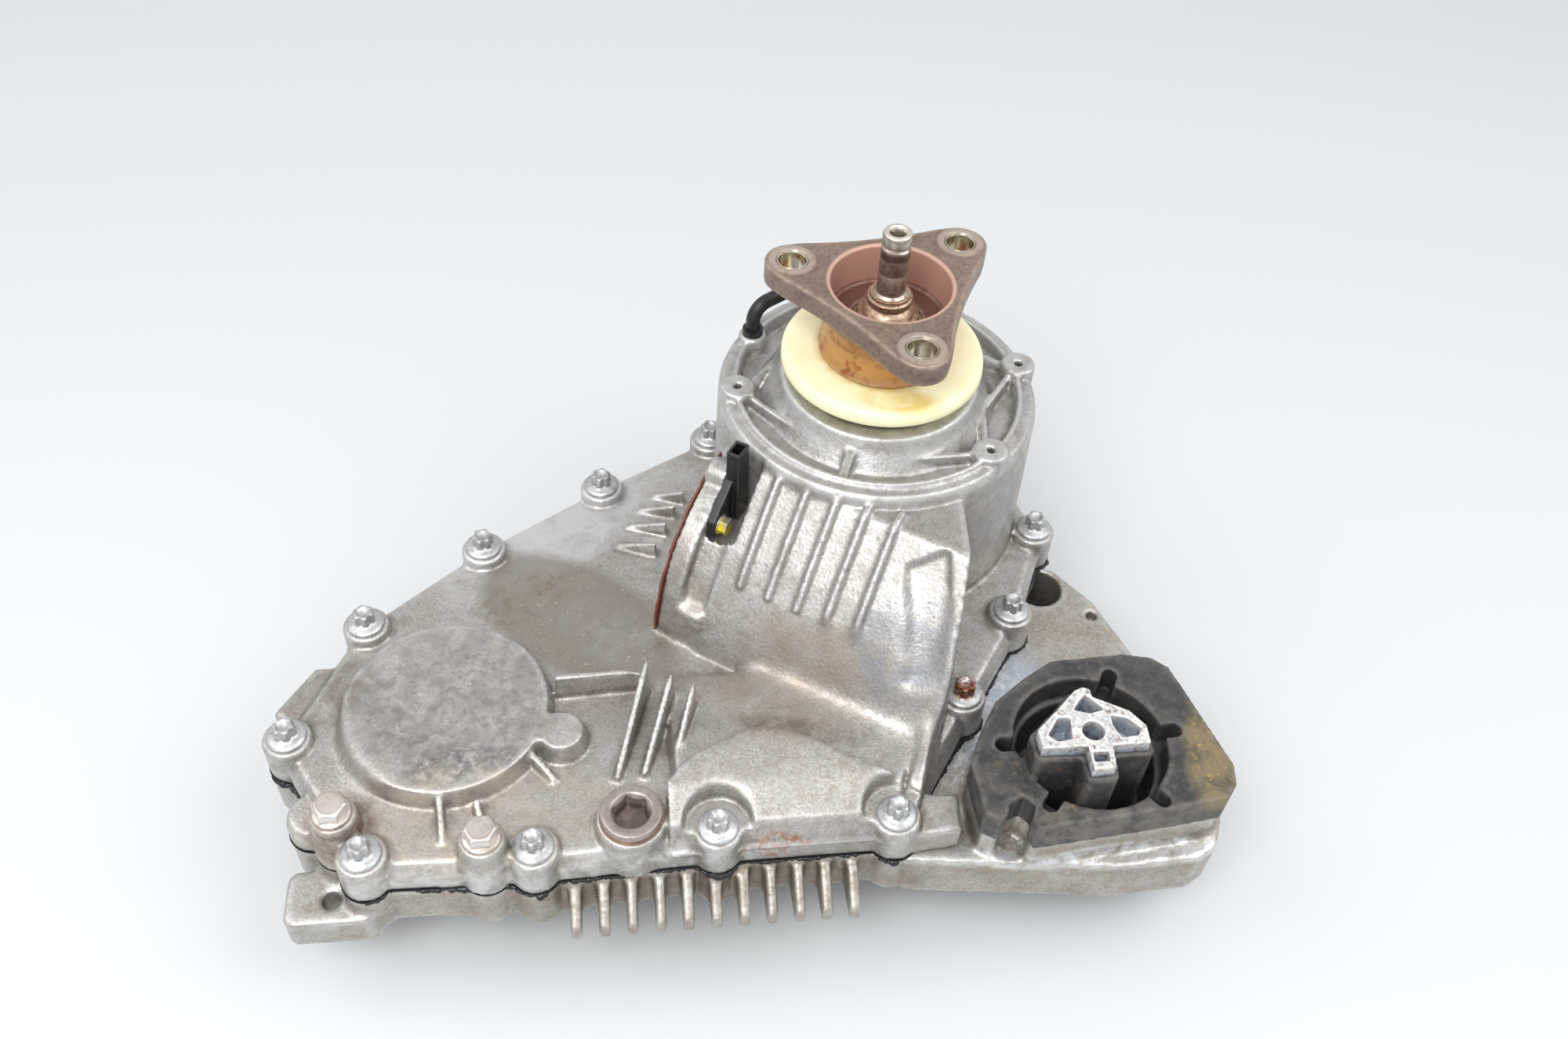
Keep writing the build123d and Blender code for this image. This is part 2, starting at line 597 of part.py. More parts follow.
with BuildPart() as front_case:
    # Chain housing with its floor and bolt bosses
    with BuildSketch(Plane.XY.offset(floor_z)):
        add(case_outline.sketch)
    extrude(amount=front_z1 - floor_z)

    # Cooling fins on the front wall, thinner towards their tips
    for k in range(fin_count):
        fin_x = fin_first_x + fin_pitch * k
        with BuildSketch(Plane.YZ.offset(fin_x)):
            with BuildLine():
                Polyline(*fin_profile, close=True)
            make_face()
        extrude(amount=fin_root_t / 2, both=True, taper=3)

    # Mounting arm, hollow from below, with the rubber mount's hole
    with BuildSketch(Plane.XY.offset(floor_z - 2.0)):
        Polygon(*arm_points, align=None)
        fillet(vertices().group_by(Axis.X)[-1], 12.0)
    extrude(amount=arm_z1 - floor_z + 2.0)
    with BuildSketch(Plane.XY.offset(arm_z1 - 1.0)):
        Polygon(*rubber_outline, align=None)
        offset(amount=-socket_inset)
    extrude(amount=socket_rise + 1.0)
    with BuildSketch(Plane.XY.offset(floor_z - 2.0)):
        with Locations((-261, -200)):
            RectangleRounded(40, 26, 5)
    extrude(amount=18.0)
    with BuildSketch(Plane.XY.offset(floor_z - 2.0)):
        with BuildLine():
            Polyline((48, -118), (108, -112), (126, -200), (120, -207), (60, -205), (30, -190), close=True)
        make_face()
        with Locations(mount_centre):
            Circle(mount_hole_r + 6.0, mode=Mode.SUBTRACT)
    extrude(amount=arm_z1 - floor_z - 5.0, mode=Mode.SUBTRACT)
    with BuildSketch(Plane.XY.offset(floor_z - 2.0)):
        with Locations(mount_centre):
            Circle(mount_hole_r)
    extrude(amount=socket_z1 - floor_z + 3.0, mode=Mode.SUBTRACT)

    # Neck and gearbox flange with its bolt lugs
    add(turned([(52.0, floor_z + 2.0), (neck_r, floor_z + 2.0), (neck_r - 2.0, gearbox_flange_t),
                (52.0, gearbox_flange_t)]))
    with BuildSketch():
        Circle(gearbox_flange_r)
        with PolarLocations(gearbox_pcd / 2, gearbox_bolt_count, start_angle=gearbox_bolt_start):
            Circle(gearbox_bolt_r + 7.0)
    extrude(amount=gearbox_flange_t)
    lug_x = gearbox_pcd / 2 * cos(radians(gearbox_bolt_start))
    lug_y = gearbox_pcd / 2 * sin(radians(gearbox_bolt_start))
    with BuildSketch():
        with Locations((lug_x, lug_y)):
            Circle(gearbox_bolt_r + 12.0)
    extrude(amount=floor_z + 2.0)

    # Nose round the front output, level with the gearbox flange
    add(turned([(0.0, 0.0), (output_nose_r - 6.0, 0.0), (output_nose_r - 4.0, 6.0), (output_nose_r, 10.0),
                (output_nose_r + 2.0, floor_z + 2.0), (0.0, floor_z + 2.0)]).moved(
                    Location((front_x, front_y, 0))))
    for angle in range(0, 360, 60):
        direction = radians(angle)
        add(thin_rib((front_x + 40.0 * cos(direction), front_y + 40.0 * sin(direction)),
                     (front_x + 66.0 * cos(direction), front_y + 66.0 * sin(direction)),
                     floor_z + 1.0, 14.0, floor_z - 3.0, 4.0))

    # Chain space
    with BuildSketch(Plane.XY.offset(floor_top)):
        add(case_cavity.sketch)
    extrude(amount=front_z1 - floor_top, mode=Mode.SUBTRACT)

    # Bell towards the gearbox and the bores of the main shaft
    add(turned([(0.0, -1.0), (pilot_r, -1.0), (pilot_r, pilot_depth), (pilot_r - 6.0, front_seal_z0),
                (0.0, front_seal_z0)]), mode=Mode.SUBTRACT)
    with BuildSketch(Plane.XY.offset(-1.0)):
        Circle(ball_bearing_bore_r + seal_ring_t)
    extrude(amount=floor_top + 2.0, mode=Mode.SUBTRACT)
    with BuildSketch(Plane.XY.offset(front_bearing_z0)):
        Circle(ball_bearing_outer_r)
    extrude(amount=floor_top - front_bearing_z0 + 1.0, mode=Mode.SUBTRACT)

    # Bores of the front output
    with BuildSketch(Plane.XY.offset(-1.0)):
        with Locations((front_x, front_y)):
            Circle(ball_bearing_bore_r + seal_ring_t)
    extrude(amount=floor_top + 2.0, mode=Mode.SUBTRACT)
    with BuildSketch(Plane.XY.offset(nose_bearing_z0)):
        with Locations((front_x, front_y)):
            Circle(ball_bearing_outer_r)
    extrude(amount=floor_top - nose_bearing_z0 + 1.0, mode=Mode.SUBTRACT)

    # Dowel seats, threaded holes for the case bolts, gearbox bolt holes and the pocket over one
    with Locations(*[(x, y, front_z1) for x, y in dowel_at]):
        Hole(dowel_r, depth=dowel_half - sealant_t / 2)
    with Locations(*[(x, y, front_z1) for x, y in flange_bolts + hex_bolts_at]):
        Hole(4.0, depth=18.0)
    with BuildSketch(Plane.XY.offset(-1.0)):
        with PolarLocations(gearbox_pcd / 2, gearbox_bolt_count, start_angle=gearbox_bolt_start):
            Circle(gearbox_bolt_r)
    extrude(amount=gearbox_flange_t + 2.0, mode=Mode.SUBTRACT)
    with BuildSketch(Plane.XY.offset(gearbox_flange_t)):
        with Locations((lug_x, lug_y)):
            Circle(12.0)
    extrude(amount=front_z1 - gearbox_flange_t + 1.0, mode=Mode.SUBTRACT)
    with Locations((lug_hole_at[0], lug_hole_at[1], floor_z + 16.0)):
        Hole(lug_hole_r, depth=20.0)
    with Locations((111.0, -75.0, arm_z1)):
        Hole(3.0, depth=7.0)

save(front_case, "front_case")

with BuildPart() as case_sealant:
    with BuildSketch(Plane.XY.offset(joint_z - sealant_t / 2)):
        offset(case_outline.sketch, amount=0.5)
        add(case_cavity.sketch, mode=Mode.SUBTRACT)
        with Locations(*flange_bolts):
            Circle(7.0, mode=Mode.SUBTRACT)
        with Locations(*hex_bolts_at):
            Circle(7.0, mode=Mode.SUBTRACT)
    extrude(amount=sealant_t)
save(case_sealant, "case_sealant")

with BuildPart() as actuator_face_seal:
    with BuildSketch(across(actuator_face_s + seal_line_t)):
        add(seal_line(seal_line_w))
    extrude(amount=seal_line_t)
save(actuator_face_seal, "actuator_face_seal")

# Fasteners of the case
bolt_shank_r = 4.0
bolt_length = bolt_seat_z - front_z1 + 15.0
star_points = 6
star_tip_r = 4.9
star_root_r = 4.1
star_outline = [((star_tip_r if k % 2 == 0 else star_root_r) * cos(pi * k / star_points),
                 (star_tip_r if k % 2 == 0 else star_root_r) * sin(pi * k / star_points))
                for k in range(2 * star_points)]

with BuildPart() as case_bolts:
    with BuildSketch(Plane.XY.offset(bolt_seat_z)):
        with Locations(*flange_bolts):
            Circle(9.0)
    extrude(amount=2.2)
    with BuildSketch(Plane.XY.offset(bolt_seat_z + 2.2)):
        with Locations(*flange_bolts):
            Polygon(*star_outline, align=None)
    extrude(amount=7.0)
    with BuildSketch(Plane.XY.offset(bolt_seat_z - bolt_length)):
        with Locations(*flange_bolts):
            Circle(bolt_shank_r)
    extrude(amount=bolt_length)
save(case_bolts, "case_bolts")

hex_seat_z = lid_z + hex_pad
with BuildPart() as hex_bolts:
    with BuildSketch(Plane.XY.offset(hex_seat_z)):
        with Locations(*hex_bolts_at):
            Circle(8.6)
    extrude(amount=2.0)
    with BuildSketch(Plane.XY.offset(hex_seat_z + 2.0)):
        with Locations(*hex_bolts_at):
            RegularPolygon(6.5, 6, major_radius=False)
    extrude(amount=6.0)
    with BuildSketch(Plane.XY.offset(front_z1 - 15.0)):
        with Locations(*hex_bolts_at):
            Circle(bolt_shank_r)
    extrude(amount=hex_seat_z - front_z1 + 15.0)
save(hex_bolts, "hex_bolts")

oil_plug_seat_z = lid_z + oil_plug_rise - 1.5
with BuildPart() as plug_seal_ring:
    with BuildSketch(Plane.XY.offset(oil_plug_seat_z)):
        with Locations(oil_plug_at):
            Circle(14.0)
            Circle(11.3, mode=Mode.SUBTRACT)
    extrude(amount=1.5)
save(plug_seal_ring, "plug_seal_ring")

with BuildPart() as oil_plug:
    with BuildSketch(Plane.XY.offset(oil_plug_seat_z - 11.0)):
        with Locations(oil_plug_at):
            Circle(11.0)
    extrude(amount=12.5)
    with BuildSketch(Plane.XY.offset(oil_plug_seat_z + 1.5)):
        with Locations(oil_plug_at):
            Circle(13.5)
    extrude(amount=4.0)
    chamfer(oil_plug.edges().group_by(Axis.Z)[-1], 1.0)
    with BuildSketch(Plane.XY.offset(oil_plug_seat_z + 5.5)):
        with Locations(oil_plug_at):
            RegularPolygon(7.0, 6, major_radius=False)
    extrude(amount=-9.0, mode=Mode.SUBTRACT)
save(oil_plug, "oil_plug")

# Rubber mount with its cavity, slots and pedestal, and the aluminium core bonded in it


def core_face(grow):
    """Outline of the aluminium core, grown by the rubber round it."""
    with BuildSketch(mode=Mode.PRIVATE) as face:
        with BuildLine():
            Polyline(*core_outline, close=True)
        make_face()
        if grow > 0:
            offset(amount=grow)
    return face.sketch.moved(Location((mount_centre[0], mount_centre[1], 0)))


with BuildPart() as rubber_mount:
    with BuildSketch(Plane.XY.offset(socket_z1)):
        Polygon(*rubber_outline, align=None)
    extrude(amount=rubber_z1 - socket_z1)
    with BuildSketch(Plane.XY.offset(floor_z)):
        with Locations(mount_centre):
            Circle(mount_hole_r - clear_gap)
    extrude(amount=socket_z1 - floor_z)
    with BuildSketch(Plane.XY.offset(floor_z + 14.0)):
        with Locations(mount_centre):
            Circle(mount_hole_r - 4.0)
    extrude(amount=rubber_z1 - floor_z, mode=Mode.SUBTRACT)
    with BuildSketch(Plane.XY.offset(rubber_z1 - 14.0)):
        with Locations(mount_centre):
            Circle(mount_hole_r - 1.0)
    extrude(amount=15.0, mode=Mode.SUBTRACT)
    for slot_angle in slot_angles:
        with BuildSketch(Plane(origin=(mount_centre[0], mount_centre[1], rubber_z1 - 14.0),
                               x_dir=(cos(radians(slot_angle)), sin(radians(slot_angle)), 0))):
            with Locations((mount_hole_r, 0)):
                SlotOverall(16.0, 7.0)
        extrude(amount=15.0, mode=Mode.SUBTRACT)
    with BuildSketch(Plane.XY.offset(floor_z)):
        add(core_face(2.5))
    extrude(amount=core_top_z - 6.0 - floor_z)
    with BuildSketch(Plane.XY.offset(floor_z + 8.0)):
        add(core_face(0))
    extrude(amount=core_top_z, mode=Mode.SUBTRACT)
save(rubber_mount, "rubber_mount")

with BuildPart() as mount_core:
    with BuildSketch(Plane.XY.offset(floor_z + 8.0)):
        add(core_face(0))
    extrude(amount=core_top_z - floor_z - 8.0)
    with BuildSketch(Plane.XY.offset(core_top_z)):
        with Locations(mount_centre):
            for pocket in core_pockets:
                Polygon(*pocket, align=None)
    extrude(amount=-core_pocket_depth, mode=Mode.SUBTRACT)
    with Locations((mount_centre[0] + core_hole_at[0], mount_centre[1] + core_hole_at[1], core_top_z)):
        Hole(core_hole_r, depth=core_hole_depth)
save(mount_core, "mount_core")

# Breather pipe: a short stiff pipe that bends back over the tower's shoulder
breather_z1 = tower_rim_z + 18.0
with BuildPart() as breather_pipe:
    with BuildLine():
        FilletPolyline((breather_root[0], breather_root[1], tower_rim_z - 12.0),
                       (breather_root[0], breather_root[1], breather_z1),
                       (breather_root[0] + 42.0, breather_root[1] + 26.0, breather_z1 + 2.0), radius=9.0)
    with BuildSketch(Plane.XY.offset(tower_rim_z - 12.0)):
        with Locations(breather_root):
            Circle(breather_r)
    sweep()
    with BuildSketch(Plane.XY.offset(tower_rim_z + 2.0)):
        with Locations(breather_root):
            Circle(breather_r + 1.6)
    extrude(amount=3.0)
save(breather_pipe, "breather_pipe")

# Coding plug on the back of the actuator's face plate, with its screw
with BuildPart() as coding_plug:
    with BuildSketch(across(plug_back_s + 4.0)):
        with BuildLine():
            Polyline((coding_plug_w - 5.0, coding_screw_z - 6.0), (coding_screw_w - 4.0, coding_screw_z - 7.5),
                     (coding_screw_w + 6.0, coding_screw_z - 4.0), (coding_screw_w + 6.0, coding_screw_z + 5.0),
                     (coding_plug_w + 5.0, coding_screw_z + 18.0), (coding_plug_w - 5.0, coding_screw_z + 18.0),
                     close=True)
        make_face()
    extrude(amount=4.0)
    with BuildSketch(across(plug_back_s + 7.0)):
        with Locations((coding_plug_w, coding_screw_z + 14.0)):
            Rectangle(10.0, 42.0)
    extrude(amount=7.0)
    with BuildSketch(Plane(origin=along(plug_back_s + 3.5, coding_plug_w, coding_screw_z + 35.0),
                           x_dir=w_dir, z_dir=(0, 0, 1))):
        Rectangle(7.0, 4.4)
    extrude(amount=-16.0, mode=Mode.SUBTRACT)
    with BuildSketch(across(plug_back_s + 4.0)):
        with Locations((coding_screw_w, coding_screw_z)):
            Circle(2.6)
    extrude(amount=6.0, mode=Mode.SUBTRACT)
save(coding_plug, "coding_plug")

with BuildPart() as plug_screw:
    with BuildSketch(across(plug_back_s + 9.0)):
        with Locations((coding_screw_w, coding_screw_z)):
            RegularPolygon(4.0, 6, major_radius=False)
    extrude(amount=4.0)
    with BuildSketch(across(plug_back_s + 5.0)):
        with Locations((coding_screw_w, coding_screw_z)):
            Circle(5.2)
    extrude(amount=1.0)
    with BuildSketch(across(plug_back_s + 5.0)):
        with Locations((coding_screw_w, coding_screw_z)):
            Circle(2.5)
    extrude(amount=11.0)
save(plug_screw, "plug_screw")

# Ball bearings with shields, as an outer and an inner ring each


def outer_ring(x, y, z0, width, bore_r, outer_r):
    """Outer ring of a shielded ball bearing."""
    inside_r = outer_r - race_t
    shield_r = bore_r + race_t + 2 * clear_gap
    z1 = z0 + width
    ring = turned([(outer_r, z0), (outer_r, z1), (shield_r, z1), (shield_r, z1 - 1.2), (inside_r, z1 - 1.2),
                   (inside_r, z0 + 1.2), (shield_r, z0 + 1.2), (shield_r, z0)])
    return ring.moved(Location((x, y, 0)))


def inner_ring(x, y, z0, width, bore_r):
    """Inner ring of a ball bearing."""
    ring = turned([(bore_r, z0), (bore_r + race_t, z0), (bore_r + race_t, z0 + width), (bore_r, z0 + width)])
    return ring.moved(Location((x, y, 0)))


def seal_ring(x, y, z0, shaft_r, outer_r):
    """Radial shaft seal with its lip turned inwards."""
    ring = turned([(shaft_r + running_gap, z0 + 3.0), (shaft_r + 3.0, z0), (outer_r, z0),
                   (outer_r, z0 + seal_t), (outer_r - 3.0, z0 + seal_t), (outer_r - 3.0, z0 + 2.5),
                   (shaft_r + 3.0, z0 + 2.5), (shaft_r + 1.5, z0 + 5.5)])
    return ring.moved(Location((x, y, 0)))


with BuildPart() as main_front_bearing_outer:
    add(outer_ring(0, 0, front_bearing_z0, ball_bearing_w, ball_bearing_bore_r, ball_bearing_outer_r))
save(main_front_bearing_outer, "main_front_bearing_outer")

with BuildPart() as main_front_bearing_inner:
    add(inner_ring(0, 0, front_bearing_z0, ball_bearing_w, ball_bearing_bore_r))
save(main_front_bearing_inner, "main_front_bearing_inner")

with BuildPart() as main_rear_bearing_outer:
    add(outer_ring(0, 0, rear_bearing_z0, ball_bearing_w, ball_bearing_bore_r, ball_bearing_outer_r))
save(main_rear_bearing_outer, "main_rear_bearing_outer")

with BuildPart() as main_rear_bearing_inner:
    add(inner_ring(0, 0, rear_bearing_z0, ball_bearing_w, ball_bearing_bore_r))
save(main_rear_bearing_inner, "main_rear_bearing_inner")

with BuildPart() as output_front_bearing_outer:
    add(outer_ring(front_x, front_y, nose_bearing_z0, ball_bearing_w, ball_bearing_bore_r,
                   ball_bearing_outer_r))
save(output_front_bearing_outer, "output_front_bearing_outer")

with BuildPart() as output_front_bearing_inner:
    add(inner_ring(front_x, front_y, nose_bearing_z0, ball_bearing_w, ball_bearing_bore_r))
save(output_front_bearing_inner, "output_front_bearing_inner")

with BuildPart() as output_rear_bearing:
    add(turned([(small_bearing_bore_r + running_gap, small_bearing_z0),
                (small_bearing_outer_r, small_bearing_z0),
                (small_bearing_outer_r, small_bearing_z0 + small_bearing_w),
                (small_bearing_bore_r + running_gap, small_bearing_z0 + small_bearing_w)]).moved(
                    Location((front_x, front_y, 0))))
save(output_rear_bearing, "output_rear_bearing")

with BuildPart() as bearing_retaining_rings:
    retaining_t = 1.75
    for x, y, z in ((0, 0, front_bearing_z1), (front_x, front_y, nose_bearing_z1)):
        with BuildSketch(Plane.XY.offset(z)):
            with Locations((x, y)):
                Circle(ball_bearing_outer_r)
                Circle(ball_bearing_outer_r - 5.0, mode=Mode.SUBTRACT)
                with Locations((-ball_bearing_outer_r, 0)):
                    Rectangle(14.0, 12.0, mode=Mode.SUBTRACT)
        extrude(amount=retaining_t)
save(bearing_retaining_rings, "bearing_retaining_rings")

with BuildPart() as front_shaft_seal:
    add(seal_ring(0, 0, front_seal_z0, ball_bearing_bore_r, ball_bearing_bore_r + seal_ring_t))
save(front_shaft_seal, "front_shaft_seal")

with BuildPart() as output_shaft_seal:
    add(seal_ring(front_x, front_y, nose_seal_z0, ball_bearing_bore_r, ball_bearing_bore_r + seal_ring_t))
save(output_shaft_seal, "output_shaft_seal")

rear_seal_z0 = rear_bearing_z1 + 2.0
with BuildPart() as rear_shaft_seal:
    add(seal_ring(0, 0, rear_seal_z0, sleeve_r, sleeve_r + rear_seal_t))
save(rear_shaft_seal, "rear_shaft_seal")

with BuildPart() as dowel_sleeves:
    with BuildSketch(Plane.XY.offset(joint_z - dowel_half)):
        with Locations(*dowel_at):
            Circle(dowel_r)
            Circle(4.4, mode=Mode.SUBTRACT)
    extrude(amount=2 * dowel_half)
save(dowel_sleeves, "dowel_sleeves")


# Main shaft: splined for the gearbox below, pin of the propeller shaft at the top


def splined_bore(radius):
    """Outline of a splined bore."""
    outline = []
    for tooth in range(spline_teeth):
        for part, grow in ((-0.3, 0.0), (-0.2, spline_depth), (0.2, spline_depth), (0.3, 0.0)):
            angle = 2 * pi * (tooth + part) / spline_teeth
            outline.append(((radius + grow) * cos(angle), (radius + grow) * sin(angle)))
    return outline


bowl_floor_z = flange_top_z - bowl_depth
shaft_collar_r = 25.0
hub_seat_z0 = drum_z0 + 2.0
ramp_seat_z0 = ramp_a_z0 - clear_gap
spline_r = 17.0
thread_r = 8.0
nut_height = 17.0
pin_top_z = flange_top_z + pin_above_flange
with BuildPart() as main_shaft:
    add(turned([(0.0, shaft_start_z), (ball_bearing_bore_r - 1.5, shaft_start_z),
                (ball_bearing_bore_r, shaft_start_z + 1.5), (ball_bearing_bore_r, front_bearing_z1),
                (shaft_collar_r, front_bearing_z1), (shaft_collar_r, floor_top + 1.0),
                (journal_r, floor_top + 1.0), (journal_r, hub_seat_z0), (hub_bore_r, hub_seat_z0),
                (hub_bore_r, ramp_seat_z0), (ball_bearing_bore_r, ramp_seat_z0),
                (ball_bearing_bore_r, rear_bearing_z1), (spline_r, rear_bearing_z1),
                (spline_r, bowl_floor_z - 1.0), (thread_r, bowl_floor_z - 1.0),
                (thread_r, bowl_floor_z + nut_height - 1.0), (pin_r, bowl_floor_z + nut_height),
                (pin_r, pin_top_z - 8.0), (pin_r - 0.9, pin_top_z - 7.5), (pin_r - 0.9, pin_top_z - 6.0),
                (pin_r, pin_top_z - 5.5), (pin_r, pin_top_z - 1.0), (pin_r - 1.0, pin_top_z),
                (2.4, pin_top_z), (1.6, pin_top_z - 5.0), (0.0, pin_top_z - 6.0)]))
    with BuildSketch(Plane.XY.offset(shaft_start_z)):
        Polygon(*splined_bore(input_bore_r), align=None)
    extrude(amount=input_bore_depth, mode=Mode.SUBTRACT)
save(main_shaft, "main_shaft")

with BuildPart() as needle_bearing:
    add(turned([(journal_r, chain_z0 - 0.5), (journal_r + needle_t - running_gap, chain_z0 - 0.5),
                (journal_r + needle_t - running_gap, chain_z1 + 0.5), (journal_r, chain_z1 + 0.5)]))
save(needle_bearing, "needle_bearing")

# Output flange with its bushes, the collar nut in the bowl and the dust cover
flange_angles = [radians(flange_first_angle + 120 * k) for k in range(3)]
flange_corners = [(flange_pcd / 2 * cos(angle), flange_pcd / 2 * sin(angle)) for angle in flange_angles]
flange_under_z = flange_top_z - flange_t
with BuildPart() as output_flange:
    with BuildSketch(Plane.XY.offset(flange_under_z)):
        Polygon(*flange_corners, align=None)
        offset(amount=flange_boss_r)
        with PolarLocations(flange_waist + flange_hollow_r, 3, start_angle=flange_first_angle + 60.0):
            Circle(flange_hollow_r, mode=Mode.SUBTRACT)
    extrude(amount=flange_t)
    chamfer(output_flange.edges().group_by(Axis.Z)[-1], 0.6)
    add(turned([(spline_r, rear_bearing_z1), (sleeve_r, rear_bearing_z1), (sleeve_r, dust_cover_z0 + dust_cover_t),
                (flange_hub_r, dust_cover_z0 + dust_cover_t), (flange_hub_r + 1.2, dust_cover_z0 + dust_cover_t + 1.0),
                (flange_hub_r + 1.2, dust_cover_z0 + dust_cover_t + 2.2), (flange_hub_r, bowl_floor_z - 12.0),
                (flange_hub_r + 0.6, flange_under_z - 4.0), (flange_hub_r + 4.0, flange_under_z + 1.0),
                (spline_r, flange_under_z + 1.0)]))
    with BuildSketch(Plane.XY.offset(flange_top_z)):
        Circle(bowl_r)
    extrude(amount=-bowl_depth, mode=Mode.SUBTRACT)
    with BuildSketch(Plane.XY.offset(rear_bearing_z1)):
        Circle(spline_r)
    extrude(amount=bowl_depth + 60.0, mode=Mode.SUBTRACT)
    with BuildSketch(Plane.XY.offset(flange_under_z)):
        with Locations(*flange_corners):
            Circle(flange_hole_r + bush_wall)
    extrude(amount=flange_t, mode=Mode.SUBTRACT)
save(output_flange, "output_flange")

with BuildPart() as flange_bushes:
    with BuildSketch(Plane.XY.offset(flange_under_z)):
        with Locations(*flange_corners):
            Circle(flange_hole_r + bush_wall)
            Circle(flange_hole_r, mode=Mode.SUBTRACT)
    extrude(amount=flange_t + 0.4)
save(flange_bushes, "flange_bushes")

with BuildPart() as collar_nut:
    add(turned([(thread_r, bowl_floor_z), (nut_r - 0.5, bowl_floor_z), (nut_r, bowl_floor_z + 0.5),
                (nut_r, bowl_floor_z + 3.5), (nut_r - 0.6, bowl_floor_z + 4.1), (nut_r - 3.0, bowl_floor_z + 4.5),
                (nut_r - 3.0, bowl_floor_z + 10.0), (nut_r - 5.0, bowl_floor_z + 10.5),
                (nut_r - 5.0, bowl_floor_z + nut_height - 1.0), (thread_r, bowl_floor_z + nut_height - 1.0)]))
save(collar_nut, "collar_nut")

with BuildPart() as dust_cover:
    cover_z1 = dust_cover_z0 + dust_cover_t
    add(turned([(sleeve_r, dust_cover_z0 + 3.0), (34.0, dust_cover_z0), (39.0, dust_cover_z0),
                (39.0, hub_top_z + 1.5), (41.0, hub_top_z + 1.5), (41.0, dust_cover_z0),
                (dust_cover_r - 0.8, dust_cover_z0), (dust_cover_r, dust_cover_z0 + 0.8),
                (dust_cover_r - 0.4, cover_z1 - 2.5), (dust_cover_r - 1.9, cover_z1 - 0.7),
                (dust_cover_r - 5.2, cover_z1), (sleeve_r, cover_z1)]))
save(dust_cover, "dust_cover")

# Chain drive. The chain runs half a turn round each sprocket and straight between them; a pin
# stands at every pitch along the way and a tooth between every two pins.
pitch_angle = 360.0 / sprocket_teeth
wrap_pitches = sprocket_teeth / 2


def chain_point(pitches):
    """Point on the chain's path, counted in pitches along it."""
    if pitches < wrap_pitches:
        turn = radians(front_axis_angle + 90 + pitches * pitch_angle)
        return pitch_r * cos(turn), pitch_r * sin(turn)
    if pitches < wrap_pitches + span_pitches:
        turn, run = radians(front_axis_angle - 90), (pitches - wrap_pitches) * chain_pitch
    elif pitches < 2 * wrap_pitches + span_pitches:
        turn = radians(front_axis_angle - 90 + (pitches - wrap_pitches - span_pitches) * pitch_angle)
        return front_x + pitch_r * cos(turn), front_y + pitch_r * sin(turn)
    else:
        turn = radians(front_axis_angle + 90)
        run = (2 * wrap_pitches + 2 * span_pitches - pitches) * chain_pitch
    heading = radians(front_axis_angle)
    return pitch_r * cos(turn) + run * cos(heading), pitch_r * sin(turn) + run * sin(heading)


link_count = int(2 * wrap_pitches + 2 * span_pitches)
pins = [chain_point(k) for k in range(link_count)]
link_places = []
for k in range(link_count):
    (ax, ay), (bx, by) = pins[k], pins[(k + 1) % link_count]
    link_places.append(Location(((ax + bx) / 2, (ay + by) / 2, 0), (0, 0, degrees(atan2(by - ay, bx - ax)) + 180)))
link_face = link_outline + [(-x, y) for x, y in reversed(link_outline)]
row_gap = clear_gap
row_z = [chain_z0 + clear_gap, chain_z0 + 7.5, chain_z0 + 17.5, chain_z1 - clear_gap]

with BuildPart() as chain:
    for first_link, z0, z1 in ((0, row_z[1], row_z[2]), (1, row_z[0], row_z[1] - row_gap),
                               (1, row_z[2] + row_gap, row_z[3])):
        with BuildSketch(Plane.XY.offset(z0)):
            with Locations(*link_places[first_link::2]):
                Polygon(*link_face, align=None)
        extrude(amount=z1 - z0)
    with BuildSketch(Plane.XY.offset(row_z[0])):
        with Locations(*pins):
            RegularPolygon(link_pin_r, 6)
    extrude(amount=row_z[3] - row_z[0])
save(chain, "chain")


def sprocket_face(phase, bore):
    """Toothed face of a sprocket with its bore."""
    outline = []
    for tooth in range(sprocket_teeth):
        middle = radians(phase + (tooth + 0.5) * pitch_angle)
        for side, radius, half in ((-1, pitch_r - tooth_root_drop, tooth_root_half),
                                   (-1, pitch_r - tooth_tip_drop, tooth_tip_half),
                                   (1, pitch_r - tooth_tip_drop, tooth_tip_half),
                                   (1, pitch_r - tooth_root_drop, tooth_root_half)):
            angle = middle + side * asin(half / radius)
            outline.append((radius * cos(angle), radius * sin(angle)))
    with BuildSketch(mode=Mode.PRIVATE) as face:
        Polygon(*outline, align=None)
        Circle(bore, mode=Mode.SUBTRACT)
    return face.sketch


with BuildPart() as drive_sprocket:
    with BuildSketch(Plane.XY.offset(chain_z0)):
        add(sprocket_face(front_axis_angle + 90, journal_r + needle_t))
    extrude(amount=chain_width)
    with BuildSketch(Plane.XY.offset(chain_z1)):
        Circle(journal_r + needle_t + 4.5)
        Circle(journal_r + needle_t, mode=Mode.SUBTRACT)
    extrude(amount=drum_z0 - chain_z1)
save(drive_sprocket, "drive_sprocket")

with BuildPart() as driven_sprocket:
    with BuildSketch(Plane.XY.offset(chain_z0)):
        add(sprocket_face(front_axis_angle - 90, ball_bearing_bore_r).moved(Location((front_x, front_y, 0))))
    extrude(amount=chain_width)
save(driven_sprocket, "driven_sprocket")

